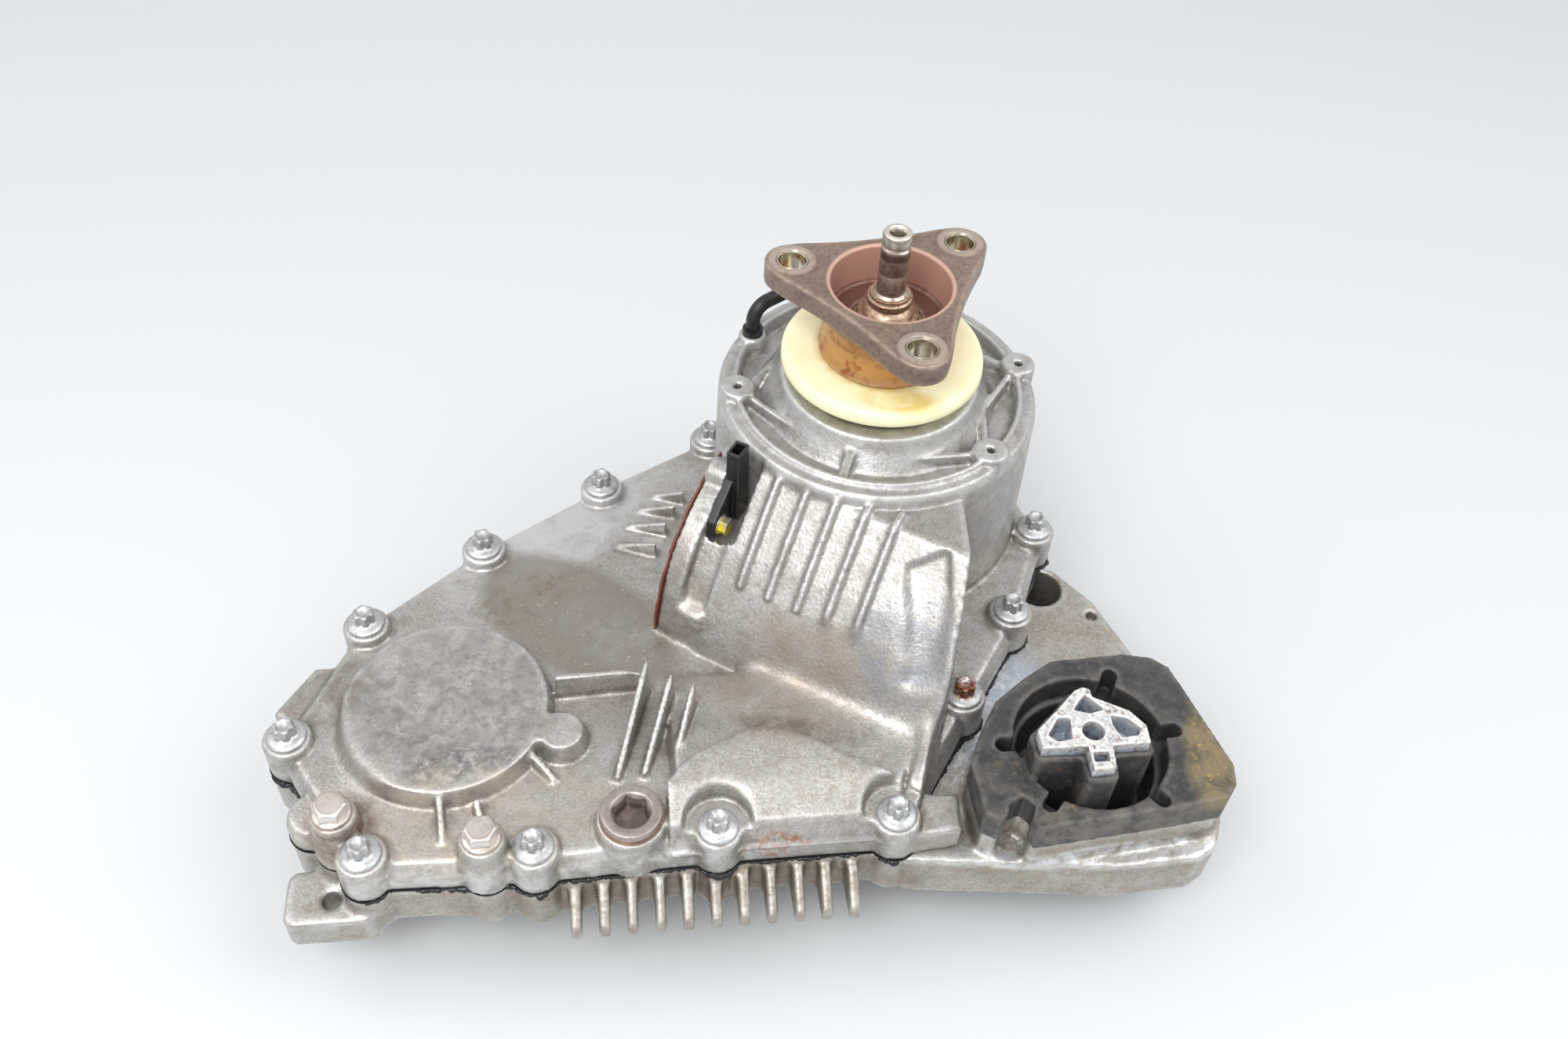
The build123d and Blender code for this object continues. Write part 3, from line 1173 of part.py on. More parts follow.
with BuildPart() as front_output_shaft:
    add(turned([(0.0, 3.0), (ball_bearing_bore_r - 1.5, 3.0), (ball_bearing_bore_r, 4.5),
                (ball_bearing_bore_r, nose_bearing_z1), (shaft_collar_r, nose_bearing_z1),
                (shaft_collar_r, chain_z0), (ball_bearing_bore_r, chain_z0), (ball_bearing_bore_r, chain_z1),
                (small_bearing_bore_r, chain_z1), (small_bearing_bore_r, small_bearing_z0 + small_bearing_w - 1.5),
                (small_bearing_bore_r - 1.0, small_bearing_z0 + small_bearing_w - 0.5),
                (0.0, small_bearing_z0 + small_bearing_w - 0.5)]).moved(Location((front_x, front_y, 0))))
    with BuildSketch(Plane.XY.offset(3.0)):
        with Locations((front_x, front_y)):
            Polygon(*splined_bore(input_bore_r - 1.0), align=None)
    extrude(amount=input_bore_depth, mode=Mode.SUBTRACT)
save(front_output_shaft, "front_output_shaft")

# Multi-plate clutch: drum with the steel plates, hub with the friction plates
hub_top_clutch_z = pack_top - clear_gap
hub_outer_r = plate_inner_r - 0.5
drum_top_z = pressure_z0 + pressure_t - 1.0
spring_r0 = hub_bore_r + 7.0
spring_r1 = spring_r0 + 6.0
spring_z0 = plates_z0 + 14.7

with BuildPart() as clutch_drum:
    add(turned([(journal_r + needle_t, drum_z0), (drum_r, drum_z0), (drum_r, drum_top_z),
                (drum_r - drum_wall, drum_top_z), (drum_r - drum_wall, drum_z0 + drum_base_t),
                (journal_r + needle_t, drum_z0 + drum_base_t)]))
    with BuildSketch(Plane.XY.offset(plates_z0 - 0.3)):
        with PolarLocations(drum_r - drum_wall / 2, lug_count):
            Rectangle(drum_wall * 3, lug_width + 2 * clear_gap)
        Circle(drum_r - drum_wall, mode=Mode.SUBTRACT)
    extrude(amount=drum_top_z, mode=Mode.SUBTRACT)
save(clutch_drum, "clutch_drum")

with BuildPart() as clutch_hub:
    with BuildSketch(Plane.XY.offset(drum_z0 + drum_base_t + 0.5)):
        Circle(hub_outer_r)
        Circle(hub_bore_r, mode=Mode.SUBTRACT)
        with PolarLocations(hub_outer_r, lug_count):
            Rectangle(2 * lug_depth, lug_width + 2 * clear_gap, mode=Mode.SUBTRACT)
    extrude(amount=hub_top_clutch_z - drum_z0 - drum_base_t - 0.5)
    with BuildSketch(Plane.XY.offset(hub_top_clutch_z)):
        Circle(spring_r1 + 0.5)
        Circle(spring_r0 - 0.5, mode=Mode.SUBTRACT)
    extrude(amount=spring_z0 - hub_top_clutch_z, mode=Mode.SUBTRACT)
save(clutch_hub, "clutch_hub")

with BuildPart() as steel_plates:
    for k in range(steel_count):
        with BuildSketch(Plane.XY.offset(plates_z0 + 2 * k * plate_step)):
            with PolarLocations(plate_outer_r, lug_count):
                Rectangle(2 * lug_depth, lug_width)
            Circle(plate_outer_r)
            Circle(plate_inner_r + 2.0, mode=Mode.SUBTRACT)
        extrude(amount=plate_t)
save(steel_plates, "steel_plates")

with BuildPart() as friction_plates:
    for k in range(friction_count):
        with BuildSketch(Plane.XY.offset(plates_z0 + (2 * k + 1) * plate_step)):
            Circle(plate_outer_r - 0.5)
            Circle(plate_inner_r, mode=Mode.SUBTRACT)
            with PolarLocations(plate_inner_r, lug_count):
                Rectangle(2 * lug_depth, lug_width)
        extrude(amount=plate_t)
save(friction_plates, "friction_plates")

with BuildPart() as pressure_plate:
    with BuildSketch(Plane.XY.offset(pressure_z0)):
        with PolarLocations(plate_outer_r, lug_count):
            Rectangle(2 * lug_depth, lug_width)
        Circle(plate_outer_r)
        Circle(spring_r0 - 0.5, mode=Mode.SUBTRACT)
    extrude(amount=pressure_t)
save(pressure_plate, "pressure_plate")

with BuildPart() as return_spring:
    disc_h = (pressure_z0 - spring_z0) / 4
    inner_line = []
    outer_line = []
    for k in range(5):
        radius = spring_r0 if k % 2 == 0 else spring_r1 - 1.5
        height = spring_z0 + disc_h * k
        inner_line.append((radius, height))
        outer_line.append((radius + 1.5, height))
    add(turned(inner_line + outer_line[::-1]))
save(return_spring, "return_spring")

# Ball ramp: two lever rings, three balls, thrust bearings on both sides, support washer
with BuildPart() as apply_bearing:
    add(turned([(30.0, apply_z0), (44.0, apply_z0), (44.0, apply_z0 + 0.8), (42.5, apply_z0 + 0.8),
                (42.5, apply_z0 + thrust_t - 0.8), (44.0, apply_z0 + thrust_t - 0.8),
                (44.0, apply_z0 + thrust_t), (30.0, apply_z0 + thrust_t)]))
save(apply_bearing, "apply_bearing")

with BuildPart() as back_bearing:
    add(turned([(26.0, back_thrust_z0), (42.0, back_thrust_z0), (42.0, back_thrust_z0 + 0.8),
                (40.5, back_thrust_z0 + 0.8), (40.5, back_thrust_z0 + thrust_t - 0.8),
                (42.0, back_thrust_z0 + thrust_t - 0.8), (42.0, back_thrust_z0 + thrust_t),
                (26.0, back_thrust_z0 + thrust_t)]))
save(back_bearing, "back_bearing")

with BuildPart() as support_washer:
    with BuildSketch(Plane.XY.offset(support_z0)):
        Circle(ball_bearing_outer_r - 0.5)
        Circle(ball_bearing_bore_r, mode=Mode.SUBTRACT)
    extrude(amount=support_t)
save(support_washer, "support_washer")

# Each roller stands off the cam disc by a gap; the disc's two thicknesses set both swings
roller_off = cam_low_half_t + roller_gap + roller_r
lever_swing = []
for side in (-1, 1):
    roller_u = cam_disc_s + side * roller_off
    arm_radius = hypot(roller_u, cam_w)
    lever_swing.append(degrees(asin((roller_u + side * cam_lift) / arm_radius) - asin(roller_u / arm_radius)))
groove_r = ramp_ball_r + 0.15


def lever_ring(side, z0):
    """Ramp ring with the arm that carries a roller, on one side of the cam disc."""
    near = cam_disc_s + side * (cam_low_half_t + 5.2)
    far = cam_disc_s + side * (roller_off + 9.7)
    tip_w = cam_w + roller_r
    with BuildPart(mode=Mode.PRIVATE) as ring:
        with BuildSketch(Plane(origin=(0, 0, z0), x_dir=u_dir, z_dir=(0, 0, -1))):
            Circle(ramp_ring_r)
            Polygon((near, 30.0), (near, tip_w - 3.0), (near + side * 3.0, tip_w), (far - side * 4.0, tip_w),
                    (far, tip_w - 4.0), (far, 30.0), align=None)
            Circle(ramp_ring_bore_r, mode=Mode.SUBTRACT)
        extrude(amount=-ramp_t)
    return ring.part


def ball_groove(swing, rise):
    """Sloping trough a ball rolls in: from where it stands to where the ring has left it."""
    length = ramp_ball_circle_r * radians(swing)
    slope = Vector(0, length, rise).normalized()
    run = hypot(length, rise)
    with BuildPart(mode=Mode.PRIVATE) as trough:
        for k in range(ramp_ball_count):
            turn = Location((0, 0, 0), (0, 0, 360.0 * k / ramp_ball_count))
            start = Vector(ramp_ball_circle_r, 0, ramp_mid_z) - slope * groove_r
            with BuildPart(mode=Mode.PRIVATE) as one:
                with BuildSketch(Plane(origin=start, x_dir=(1, 0, 0), z_dir=slope)):
                    Circle(groove_r)
                extrude(amount=run + 2 * groove_r)
            add(one.part.moved(turn))
    return trough.part


def lever_roller(side, z0):
    """Roller at the end of a lever's arm."""
    with BuildPart(mode=Mode.PRIVATE) as wheel:
        with BuildSketch(Plane(origin=along(cam_disc_s + side * roller_off, cam_w, z0), z_dir=(0, 0, 1))):
            Circle(roller_r)
            Circle(roller_pin_r, mode=Mode.SUBTRACT)
        extrude(amount=ramp_gap - 2 * clear_gap)
    return wheel.part


def roller_pin(side, z0, height):
    """Pin that holds a roller on its arm."""
    with BuildPart(mode=Mode.PRIVATE) as pin:
        with BuildSketch(Plane(origin=along(cam_disc_s + side * roller_off, cam_w, z0), z_dir=(0, 0, 1))):
            Circle(roller_pin_r)
        extrude(amount=height)
    return pin.part


with BuildPart() as lever_a:
    add(lever_ring(-1, ramp_a_z0))
    add(roller_pin(-1, ramp_a_z1 - 1.0, ramp_gap + 0.8))
    add(ball_groove(-lever_swing[0], clutch_stroke / 2), mode=Mode.SUBTRACT)
save(lever_a, "lever_a")

with BuildPart() as lever_b:
    add(lever_ring(1, ramp_b_z0))
    add(roller_pin(1, ramp_b_z0 - ramp_gap + 0.2, ramp_gap + 0.8))
    add(ball_groove(-lever_swing[1], -clutch_stroke / 2), mode=Mode.SUBTRACT)
save(lever_b, "lever_b")

with BuildPart() as roller_a:
    add(lever_roller(-1, ramp_a_z1 + clear_gap))
save(roller_a, "roller_a")

with BuildPart() as roller_b:
    add(lever_roller(1, ramp_a_z1 + clear_gap))
save(roller_b, "roller_b")

with BuildPart() as ramp_balls:
    with Locations(Location((0, 0, ramp_mid_z))):
        with PolarLocations(ramp_ball_circle_r, ramp_ball_count):
            Sphere(ramp_ball_r)
save(ramp_balls, "ramp_balls")

# Cam shaft with its disc, two bushes and the tongue the actuator turns
cam_bush_r = cam_shaft_r + 5.0
tongue_length = 4.0
cam_shaft_start_s = actuator_face_s + 14.0
with BuildPart() as cam_shaft:
    with BuildSketch(across(cam_shaft_end_s)):
        with Locations((cam_w, cam_z)):
            Circle(cam_shaft_r)
    extrude(amount=cam_shaft_end_s - cam_shaft_start_s)
    with BuildSketch(across(cam_shaft_start_s + tongue_length)):
        for side in (-1, 1):
            with Locations((cam_w + side * 5.0, cam_z)):
                Rectangle(5.0, 14.0)
    extrude(amount=tongue_length, mode=Mode.SUBTRACT)
save(cam_shaft, "cam_shaft")

cam_step = 20


def cam_section(turn_angle):
    """Section of the cam disc at one angle, as thick as the rollers need it there."""
    if turn_angle <= cam_turn:
        half = cam_low_half_t + cam_lift * turn_angle / cam_turn
    else:
        half = cam_low_half_t + cam_lift * (360.0 - turn_angle) / (360.0 - cam_turn)
    turn = radians(turn_angle)
    radial = Vector(0, 0, 1) * cos(turn) - w_dir * sin(turn)
    origin = along(cam_disc_s, cam_w, cam_z) + radial * (cam_disc_r / 2 + 3.0)
    with BuildSketch(Plane(origin=origin, x_dir=radial, z_dir=radial.cross(u_dir)), mode=Mode.PRIVATE) as cut:
        Rectangle(cam_disc_r, 2 * half)
    return cut.sketch


with BuildPart() as cam_disc:
    loft([cam_section(angle) for angle in range(0, int(cam_turn) + 1, cam_step)], ruled=True)
    loft([cam_section(angle) for angle in range(int(cam_turn), 361, cam_step)], ruled=True)
    with BuildSketch(across(cam_disc_s + 20.0)):
        with Locations((cam_w, cam_z)):
            Circle(cam_disc_r)
    extrude(amount=40.0, mode=Mode.INTERSECT)
    with BuildSketch(across(cam_disc_s + 20.0)):
        with Locations((cam_w, cam_z)):
            Circle(cam_shaft_r)
    extrude(amount=40.0, mode=Mode.SUBTRACT)
save(cam_disc, "cam_disc")

with BuildPart() as cam_bushes:
    for bush_s, bush_length in ((cam_shaft_end_s, 3.0), (hump_s0 + case_wall - 1.0, 11.0)):
        with BuildSketch(across(bush_s)):
            with Locations((cam_w, cam_z)):
                Circle(cam_bush_r)
                Circle(cam_shaft_r + running_gap, mode=Mode.SUBTRACT)
        extrude(amount=bush_length)
save(cam_bushes, "cam_bushes")
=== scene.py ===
# %% [markdown]
# A transfer case shares a car's drive between its two axles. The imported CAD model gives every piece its
# place and size. This file gives the pieces the forms and finishes that casting, forging, moulding and some
# years on the road gave the real ones. Work starts by loading the model and keeping its box for the size
# rule.

import json
import math

import bmesh
import bpy
import numpy as np
from mathutils import Matrix, Vector


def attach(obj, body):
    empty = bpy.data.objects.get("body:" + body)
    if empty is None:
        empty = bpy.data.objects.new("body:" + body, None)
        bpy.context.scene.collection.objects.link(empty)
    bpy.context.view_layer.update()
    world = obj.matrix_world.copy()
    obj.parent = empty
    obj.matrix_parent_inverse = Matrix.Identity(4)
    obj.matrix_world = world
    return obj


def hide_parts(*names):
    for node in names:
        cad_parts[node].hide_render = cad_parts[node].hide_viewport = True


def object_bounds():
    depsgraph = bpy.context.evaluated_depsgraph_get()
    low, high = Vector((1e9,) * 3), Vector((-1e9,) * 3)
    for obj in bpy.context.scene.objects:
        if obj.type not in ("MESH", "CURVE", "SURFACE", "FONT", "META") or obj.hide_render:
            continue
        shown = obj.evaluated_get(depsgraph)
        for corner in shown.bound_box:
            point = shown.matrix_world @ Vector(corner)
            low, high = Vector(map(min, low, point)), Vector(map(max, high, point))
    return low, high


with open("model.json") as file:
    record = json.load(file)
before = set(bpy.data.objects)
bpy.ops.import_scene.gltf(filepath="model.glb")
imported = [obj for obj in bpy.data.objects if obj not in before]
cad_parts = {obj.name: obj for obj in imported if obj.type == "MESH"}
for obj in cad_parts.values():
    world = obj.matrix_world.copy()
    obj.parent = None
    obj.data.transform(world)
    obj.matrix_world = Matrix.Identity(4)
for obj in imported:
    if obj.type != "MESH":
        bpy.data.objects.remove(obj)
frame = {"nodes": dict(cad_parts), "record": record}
cad_box = [list(corner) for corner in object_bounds()]
MM = 0.001
print("CAD box", cad_box)

# %% [markdown]
# The photograph looks down on the case from the front left. A camera can be aimed by a tracking constraint,
# but its roll is then lost, so the view is written as a forward direction, a level sideways direction and a
# small roll, and the three together make the camera's turn.

# %% camera
FORWARD = Vector((0.1114, 0.6734, -0.7307)).normalized()
LEVEL_RIGHT = Vector((0.9866, -0.1632, 0.0)).normalized()
LEVEL_UP = LEVEL_RIGHT.cross(FORWARD).normalized()
ROLL = math.radians(4.41)
CAMERA_PLACE = Vector((-0.127, -0.515, 0.6246))
camera_data = bpy.data.cameras.new("camera")
camera_data.lens, camera_data.sensor_width = 32.4, 36.0
camera_data.clip_start, camera_data.clip_end = 0.02, 20.0
camera = bpy.data.objects.new("camera", camera_data)
bpy.context.scene.collection.objects.link(camera)
right = LEVEL_RIGHT * math.cos(ROLL) + LEVEL_UP * math.sin(ROLL)
up = LEVEL_UP * math.cos(ROLL) - LEVEL_RIGHT * math.sin(ROLL)
turn = Matrix((right, up, -FORWARD)).transposed().to_4x4()
camera.matrix_world = Matrix.Translation(CAMERA_PLACE) @ turn
bpy.context.scene.camera = camera
bpy.context.scene.view_settings.view_transform = "Standard"
print("camera", tuple(round(v, 3) for v in CAMERA_PLACE))

# %% [markdown]
# A shader works with linear light, while a colour given here is an sRGB code. One function turns the code
# to linear values. A second one adds any shader node with its settings and links, which keeps a long recipe
# short.

# %% colours and shader nodes
def hex_rgb(code):
    """Linear colour of an sRGB hex code: each channel c becomes ((c + 0.055) / 1.055) ** 2.4."""
    channels = np.array([int(code[k:k + 2], 16) for k in (0, 2, 4)]) / 255
    return (*(((channels + 0.055) / 1.055) ** 2.4), 1.0)


def add(tree, kind, inputs=None, output=0, **settings):
    """Add a shader node with its settings, set or link its inputs, and give back one of its outputs."""
    made = tree.nodes.new("ShaderNode" + kind)
    for name, value in settings.items():
        setattr(made, name, value)
    for socket, value in (inputs or {}).items():
        if isinstance(value, bpy.types.NodeSocket):
            tree.links.new(value, made.inputs[socket])
        else:
            made.inputs[socket].default_value = value
    return made.outputs[output]


# %% [markdown]
# Dirt, oxide and oil lie in patches, and other patches here are painted highlights and painted shade. A
# patch could be painted on a texture, but a procedural one stays sharp at any size: noise says where the
# patch is broken up, and a soft ellipsoid says where on the object it lies.

# %% patches
SOFT_RIM = 0.35


def blotches(tree, place, size_mm, low, high):
    """Noise in blotches about size_mm across, stretched so that low becomes 0 and high becomes 1."""
    value = add(tree, "TexNoise", {"Vector": place, "Scale": 1.0 / (size_mm * MM), "Detail": 5.0,
                                   "Roughness": 0.6, "Distortion": 0.5})
    return add(tree, "MapRange", {"Value": value, "From Min": low, "From Max": high})


def stain_or_light_share(tree, place, stain_or_light):
    """How thickly a mark of dirt or of painted light or shade covers a point: amount, times blotches, times
    the ellipsoid that holds it.
    """
    share = blotches(tree, place, stain_or_light["size"], stain_or_light["low"], stain_or_light["high"])
    share = add(tree, "Math", {0: share, 1: stain_or_light["amount"]}, operation="MULTIPLY")
    if "at" not in stain_or_light:
        return share
    inside = add(tree, "Mapping", {"Vector": place, "Location": [v * MM for v in stain_or_light["at"]],
                                   "Rotation": (0, 0, math.radians(stain_or_light.get("turn", 0.0))),
                                   "Scale": [v * MM for v in stain_or_light["reach"]]}, vector_type="TEXTURE")
    away = add(tree, "VectorMath", {0: inside}, "Value", operation="LENGTH")
    soft = stain_or_light.get("soft", SOFT_RIM)
    held = add(tree, "MapRange", {"Value": away, "From Min": 1.0 + soft / 2, "From Max": 1.0 - soft / 2})
    return add(tree, "Math", {0: share, 1: held}, operation="MULTIPLY")


def patch(code, amount, size, low=0.4, high=0.65, **more):
    """A mark of dirt, oil or oxide, or of painted light or shade: its colour, how much it hides, the size of
    its blotches in mm and how they are cut. More says where it lies if it isn't everywhere (at and reach in
    mm, turn in degrees), how soft its rim is, and its gloss."""
    return dict(code=code, amount=amount, size=size, low=low, high=high, **more)


# %% [markdown]
# A used metal part shows its history at its edges: they are rubbed bright, while the hollows keep the
# grime. The skins below store how far each point stands out of its surroundings as an attribute called
# wear, in mm, and the finish reads it. Where a mesh has no such attribute the value is 0 and nothing
# happens.

# %% one function for all finishes
CLOUD_MM, RUBBED_MM, GLOSS_SWING, GRAIN_STRENGTH = 30.0, 6.0, 0.15, 0.5


def finish(name, light, dark, metallic, roughness, grain_mm=1.0, bump_mm=0.05, worn=None, patches=()):
    """Two tones in clouds, then patches, bright edges and dark hollows. The clouds also swing the gloss,
    and a fine grain goes into the bump."""
    material = bpy.data.materials.new(name)
    material.use_nodes = True
    tree = material.node_tree
    shader = tree.nodes["Principled BSDF"]
    place = add(tree, "TexCoord", output="Object")
    clouds = blotches(tree, place, CLOUD_MM, 0.35, 0.65)
    colour = add(tree, "Mix", {0: clouds, 6: hex_rgb(light), 7: hex_rgb(dark)}, 2, data_type="RGBA")
    gloss = add(tree, "MapRange", {"Value": clouds, "To Min": roughness - GLOSS_SWING / 2,
                                   "To Max": roughness + GLOSS_SWING / 2})
    # each patch is a stain or a patch of painted light or shade, laid over the colour in turn
    for stain_or_light in patches:
        share = stain_or_light_share(tree, place, stain_or_light)
        colour = add(tree, "Mix", {0: share, 6: colour, 7: hex_rgb(stain_or_light["code"])}, 2, data_type="RGBA")
        if "rough" in stain_or_light:
            gloss = add(tree, "Mix", {0: share, 2: gloss, 3: stain_or_light["rough"]})
    if worn:
        wear = add(tree, "Attribute", output="Fac", attribute_name="wear")
        broken = blotches(tree, place, RUBBED_MM, 0.3, 0.65)
        for code, amount, near, far in worn:
            share = add(tree, "MapRange", {"Value": wear, "From Min": near, "From Max": far,
                                           "To Max": amount})
            share = add(tree, "Math", {0: share, 1: broken}, operation="MULTIPLY")
            colour = add(tree, "Mix", {0: share, 6: colour, 7: hex_rgb(code)}, 2, data_type="RGBA")
    grain = add(tree, "TexNoise", {"Vector": place, "Scale": 1.0 / (grain_mm * MM), "Detail": 3.0})
    normal = add(tree, "Bump", {"Height": grain, "Strength": GRAIN_STRENGTH, "Distance": bump_mm * MM})
    for socket, value in (("Base Color", colour), ("Roughness", gloss), ("Normal", normal)):
        tree.links.new(value, shader.inputs[socket])
    shader.inputs["Metallic"].default_value = metallic
    return material


# %% [markdown]
# Sand and die casting leave aluminium pale grey with a fine grain. On the rear casting oil has left a dark
# wet patch, road grime has gone brown in the hollows, and the machined or rubbed edges are silver. Some
# patches are painted light: painted highlights on the tower top, the ribs and the front edges, white specks
# of painted glint on the wet films, and painted shade in a crease and between the fins. The grain is drawn
# at about 1 mm, coarser than the real one, because finer grain doesn't show in the render.

# %% cast aluminium
# edges rubbed silver, hollows brown: colour, amount, and the wear in mm where it starts and is full
rubbed_casting = [("DADAD8", 0.4, 0.14, 0.5), ("6F675C", 0.6, -0.12, -0.5)]
# pale and dark speckle of the cast skin
casting_speckle = [patch("DDDCDA", 0.5, 1.0, 0.53, 0.66), patch("766F66", 0.5, 1.4, 0.52, 0.68),
                   patch("8C867E", 0.4, 4.5, 0.5, 0.66)]
cover_patches = [
    # pale and brown clouds all over
    patch("C9C7C4", 0.45, 26, 0.45, 0.7),
    patch("8F867A", 0.4, 9, 0.5, 0.7),
    # a dry bright panel, then the dark wet patch with its brown rim, a drier island, and painted glints
    patch("D2D3D5", 0.7, 20, 0.3, 0.6, at=(-160, -8, 80), reach=(70, 30, 12), turn=35),
    patch("8E867C", 0.8, 24, 0.15, 0.4, at=(-152, -74, 80), reach=(58, 31, 13), turn=-41, soft=0.2,
          rough=0.24),
    patch("7E6B4A", 0.5, 8, 0.48, 0.64, at=(-180, -60, 80), reach=(28, 13, 8), turn=35),
    patch("9A9793", 0.6, 12, 0.45, 0.6, at=(-136, -84, 80), reach=(30, 18, 8), turn=-41, rough=0.3),
    patch("F4F4F4", 0.9, 1.3, 0.66, 0.71, at=(-142, -74, 80), reach=(46, 36, 10), turn=-41, rough=0.15),
    # the lower boss is stained grey, with fine streaks and one dark greasy patch
    patch("928E8D", 0.8, 13, 0.42, 0.56, at=(-208, -124, 91), reach=(46, 46, 8)),
    patch("7F7A78", 0.6, 4.5, 0.48, 0.62, at=(-206, -128, 91), reach=(44, 34, 8)),
    patch("66636A", 0.65, 3.5, 0.42, 0.56, at=(-203, -161, 88), reach=(26, 9, 9), turn=8, rough=0.18),
    # grime on the left rim and warm grey along the lower left
    patch("7A7063", 0.7, 14, 0.3, 0.6, at=(-266, -110, 82), reach=(26, 20, 20)),
    patch("CBBDAA", 0.6, 12, 0.35, 0.65, at=(-205, -184, 80), reach=(90, 26, 24)),
    # the actuator housing: a brown foot, painted highlights on the ribs, and a bluish sheen on its right
    patch("9A8C7E", 0.75, 18, 0.25, 0.55, at=(-62, -134, 112), reach=(52, 30, 30), turn=-20),
    patch("8F8579", 0.6, 10, 0.35, 0.6, at=(-104, -92, 112), reach=(16, 40, 30)),
    patch("C9C8C6", 0.5, 6, 0.4, 0.65, at=(-34, -86, 135), reach=(48, 34, 22)),
    patch("9A9590", 0.5, 9, 0.4, 0.65, at=(-74, -70, 130), reach=(30, 30, 26)),
    patch("868B94", 0.7, 12, 0.35, 0.6, at=(0, -126, 112), reach=(24, 26, 26)),
    patch("8D8F94", 0.6, 14, 0.35, 0.6, at=(44, -62, 128), reach=(34, 24, 26)),
    # the low lobe in front: brown speckle, painted shade in the crease and a spot of rust
    patch("9B876F", 0.5, 2.6, 0.52, 0.66, at=(-60, -172, 95), reach=(56, 30, 20)),
    patch("6A6156", 0.65, 9, 0.3, 0.6, at=(-58, -151, 94), reach=(44, 9, 12), turn=-12),
    patch("8F7F6B", 0.6, 9, 0.4, 0.65, at=(5, -195, 78), reach=(18, 16, 14)),
    patch("A8622F", 0.9, 4.5, 0.45, 0.6, at=(-68, -204, 76), reach=(15, 7, 8)),
    # rust round a hex bolt's boss, painted light on the tower top, a painted highlight on the front edge
    patch("6E4B33", 0.65, 7, 0.35, 0.6, at=(-256, -183, 82), reach=(17, 17, 14)),
    patch("C9CACB", 0.65, 10, 0.35, 0.6, at=(0, 0, 166), reach=(95, 95, 16)),
    patch("E6E7E8", 0.5, 9, 0.45, 0.6, at=(-150, -212, 74), reach=(130, 16, 10))]
cast_rear = finish("cast_aluminium_rear", "B4B1AD", "9F9A94", 0.75, 0.42, 1.6, 0.4, rubbed_casting,
                   cover_patches[:2] + casting_speckle + cover_patches[2:])
arm_patches = [
    # pale and brown clouds all over
    patch("C8C4BD", 0.4, 22, 0.45, 0.7),
    patch("948873", 0.5, 10, 0.45, 0.7),
    # a bluish wet film between the bolts and the mount, and painted glints on it
    patch("B7C1CE", 0.85, 18, 0.25, 0.5, at=(44, -120, 64), reach=(34, 62, 6), turn=20, rough=0.22),
    patch("E4E8EC", 0.7, 7, 0.5, 0.64, at=(36, -130, 64), reach=(34, 60, 6), turn=20, rough=0.18),
    # brown on the arm's front, painted brown shade between the fins, silver on the lug
    patch("9C8D72", 0.6, 6, 0.45, 0.65, at=(76, -212, 64), reach=(70, 9, 18)),
    patch("857763", 0.75, 12, 0.25, 0.55, at=(-95, -214, 50), reach=(100, 20, 22)),
    patch("C9CBCD", 0.5, 8, 0.4, 0.65, at=(-264, -200, 52), reach=(24, 18, 6)),
    # painted highlight along the arm's front edge
    patch("E8EAEC", 0.75, 9, 0.35, 0.55, at=(76, -211, 64), reach=(74, 7, 7), turn=-2, rough=0.25)]
cast_front = finish("cast_aluminium_front", "B4B0AA", "9F978D", 0.75, 0.42, 1.6, 0.4, rubbed_casting,
                    arm_patches[:2] + casting_speckle + arm_patches[2:])
print("castings", cast_rear.name, cast_front.name)

# %% [markdown]
# The fasteners are plated steel: zinc looks bluish and stays bright, and the two hex bolts and the oil plug
# have a pinkish tint. One bolt near the arm has rusted. All are metals, so the colour is in the reflection.

# %% fasteners
grime = patch("857D72", 0.5, 3.0, 0.48, 0.66)
zinc = finish("zinc_plated_steel", "C9CBCD", "B3B4B5", 0.85, 0.42, 0.7, 0.05, None,
              [grime, patch("8A4A24", 0.95, 2.5, 0.38, 0.55, at=(28, -135, 92), reach=(8, 8, 5.5))])
golden_zinc = finish("tinted_zinc", "CFC4BC", "B8A89C", 0.85, 0.34, 0.7, 0.05, None,
                     [grime, patch("E6E5E2", 0.8, 9, 0.2, 0.5, at=(-224, -191, 98), reach=(60, 30, 3.4))])
plug_metal = finish("turned_aluminium_plug", "B9AFAB", "A0948F", 0.85, 0.34, 0.9, 0.05, None,
                    [grime, patch("5E504A", 0.8, 9, 0.2, 0.5, at=(-130, -191, 84), reach=(9, 9, 6))])
copper = finish("copper_washer", "B79C88", "9C8270", 0.95, 0.3)
screw_steel = finish("screw_steel", "C2C1BC", "A5A39D", 0.9, 0.3, 0.6, 0.04, None,
                     [patch("F0D818", 1.0, 6, 0.0, 0.1, at=(-81.5, -62.5, 130), reach=(4.6, 4.6, 5),
                            rough=0.5)])
print("fasteners", zinc.name, golden_zinc.name, plug_metal.name, copper.name, screw_steel.name)
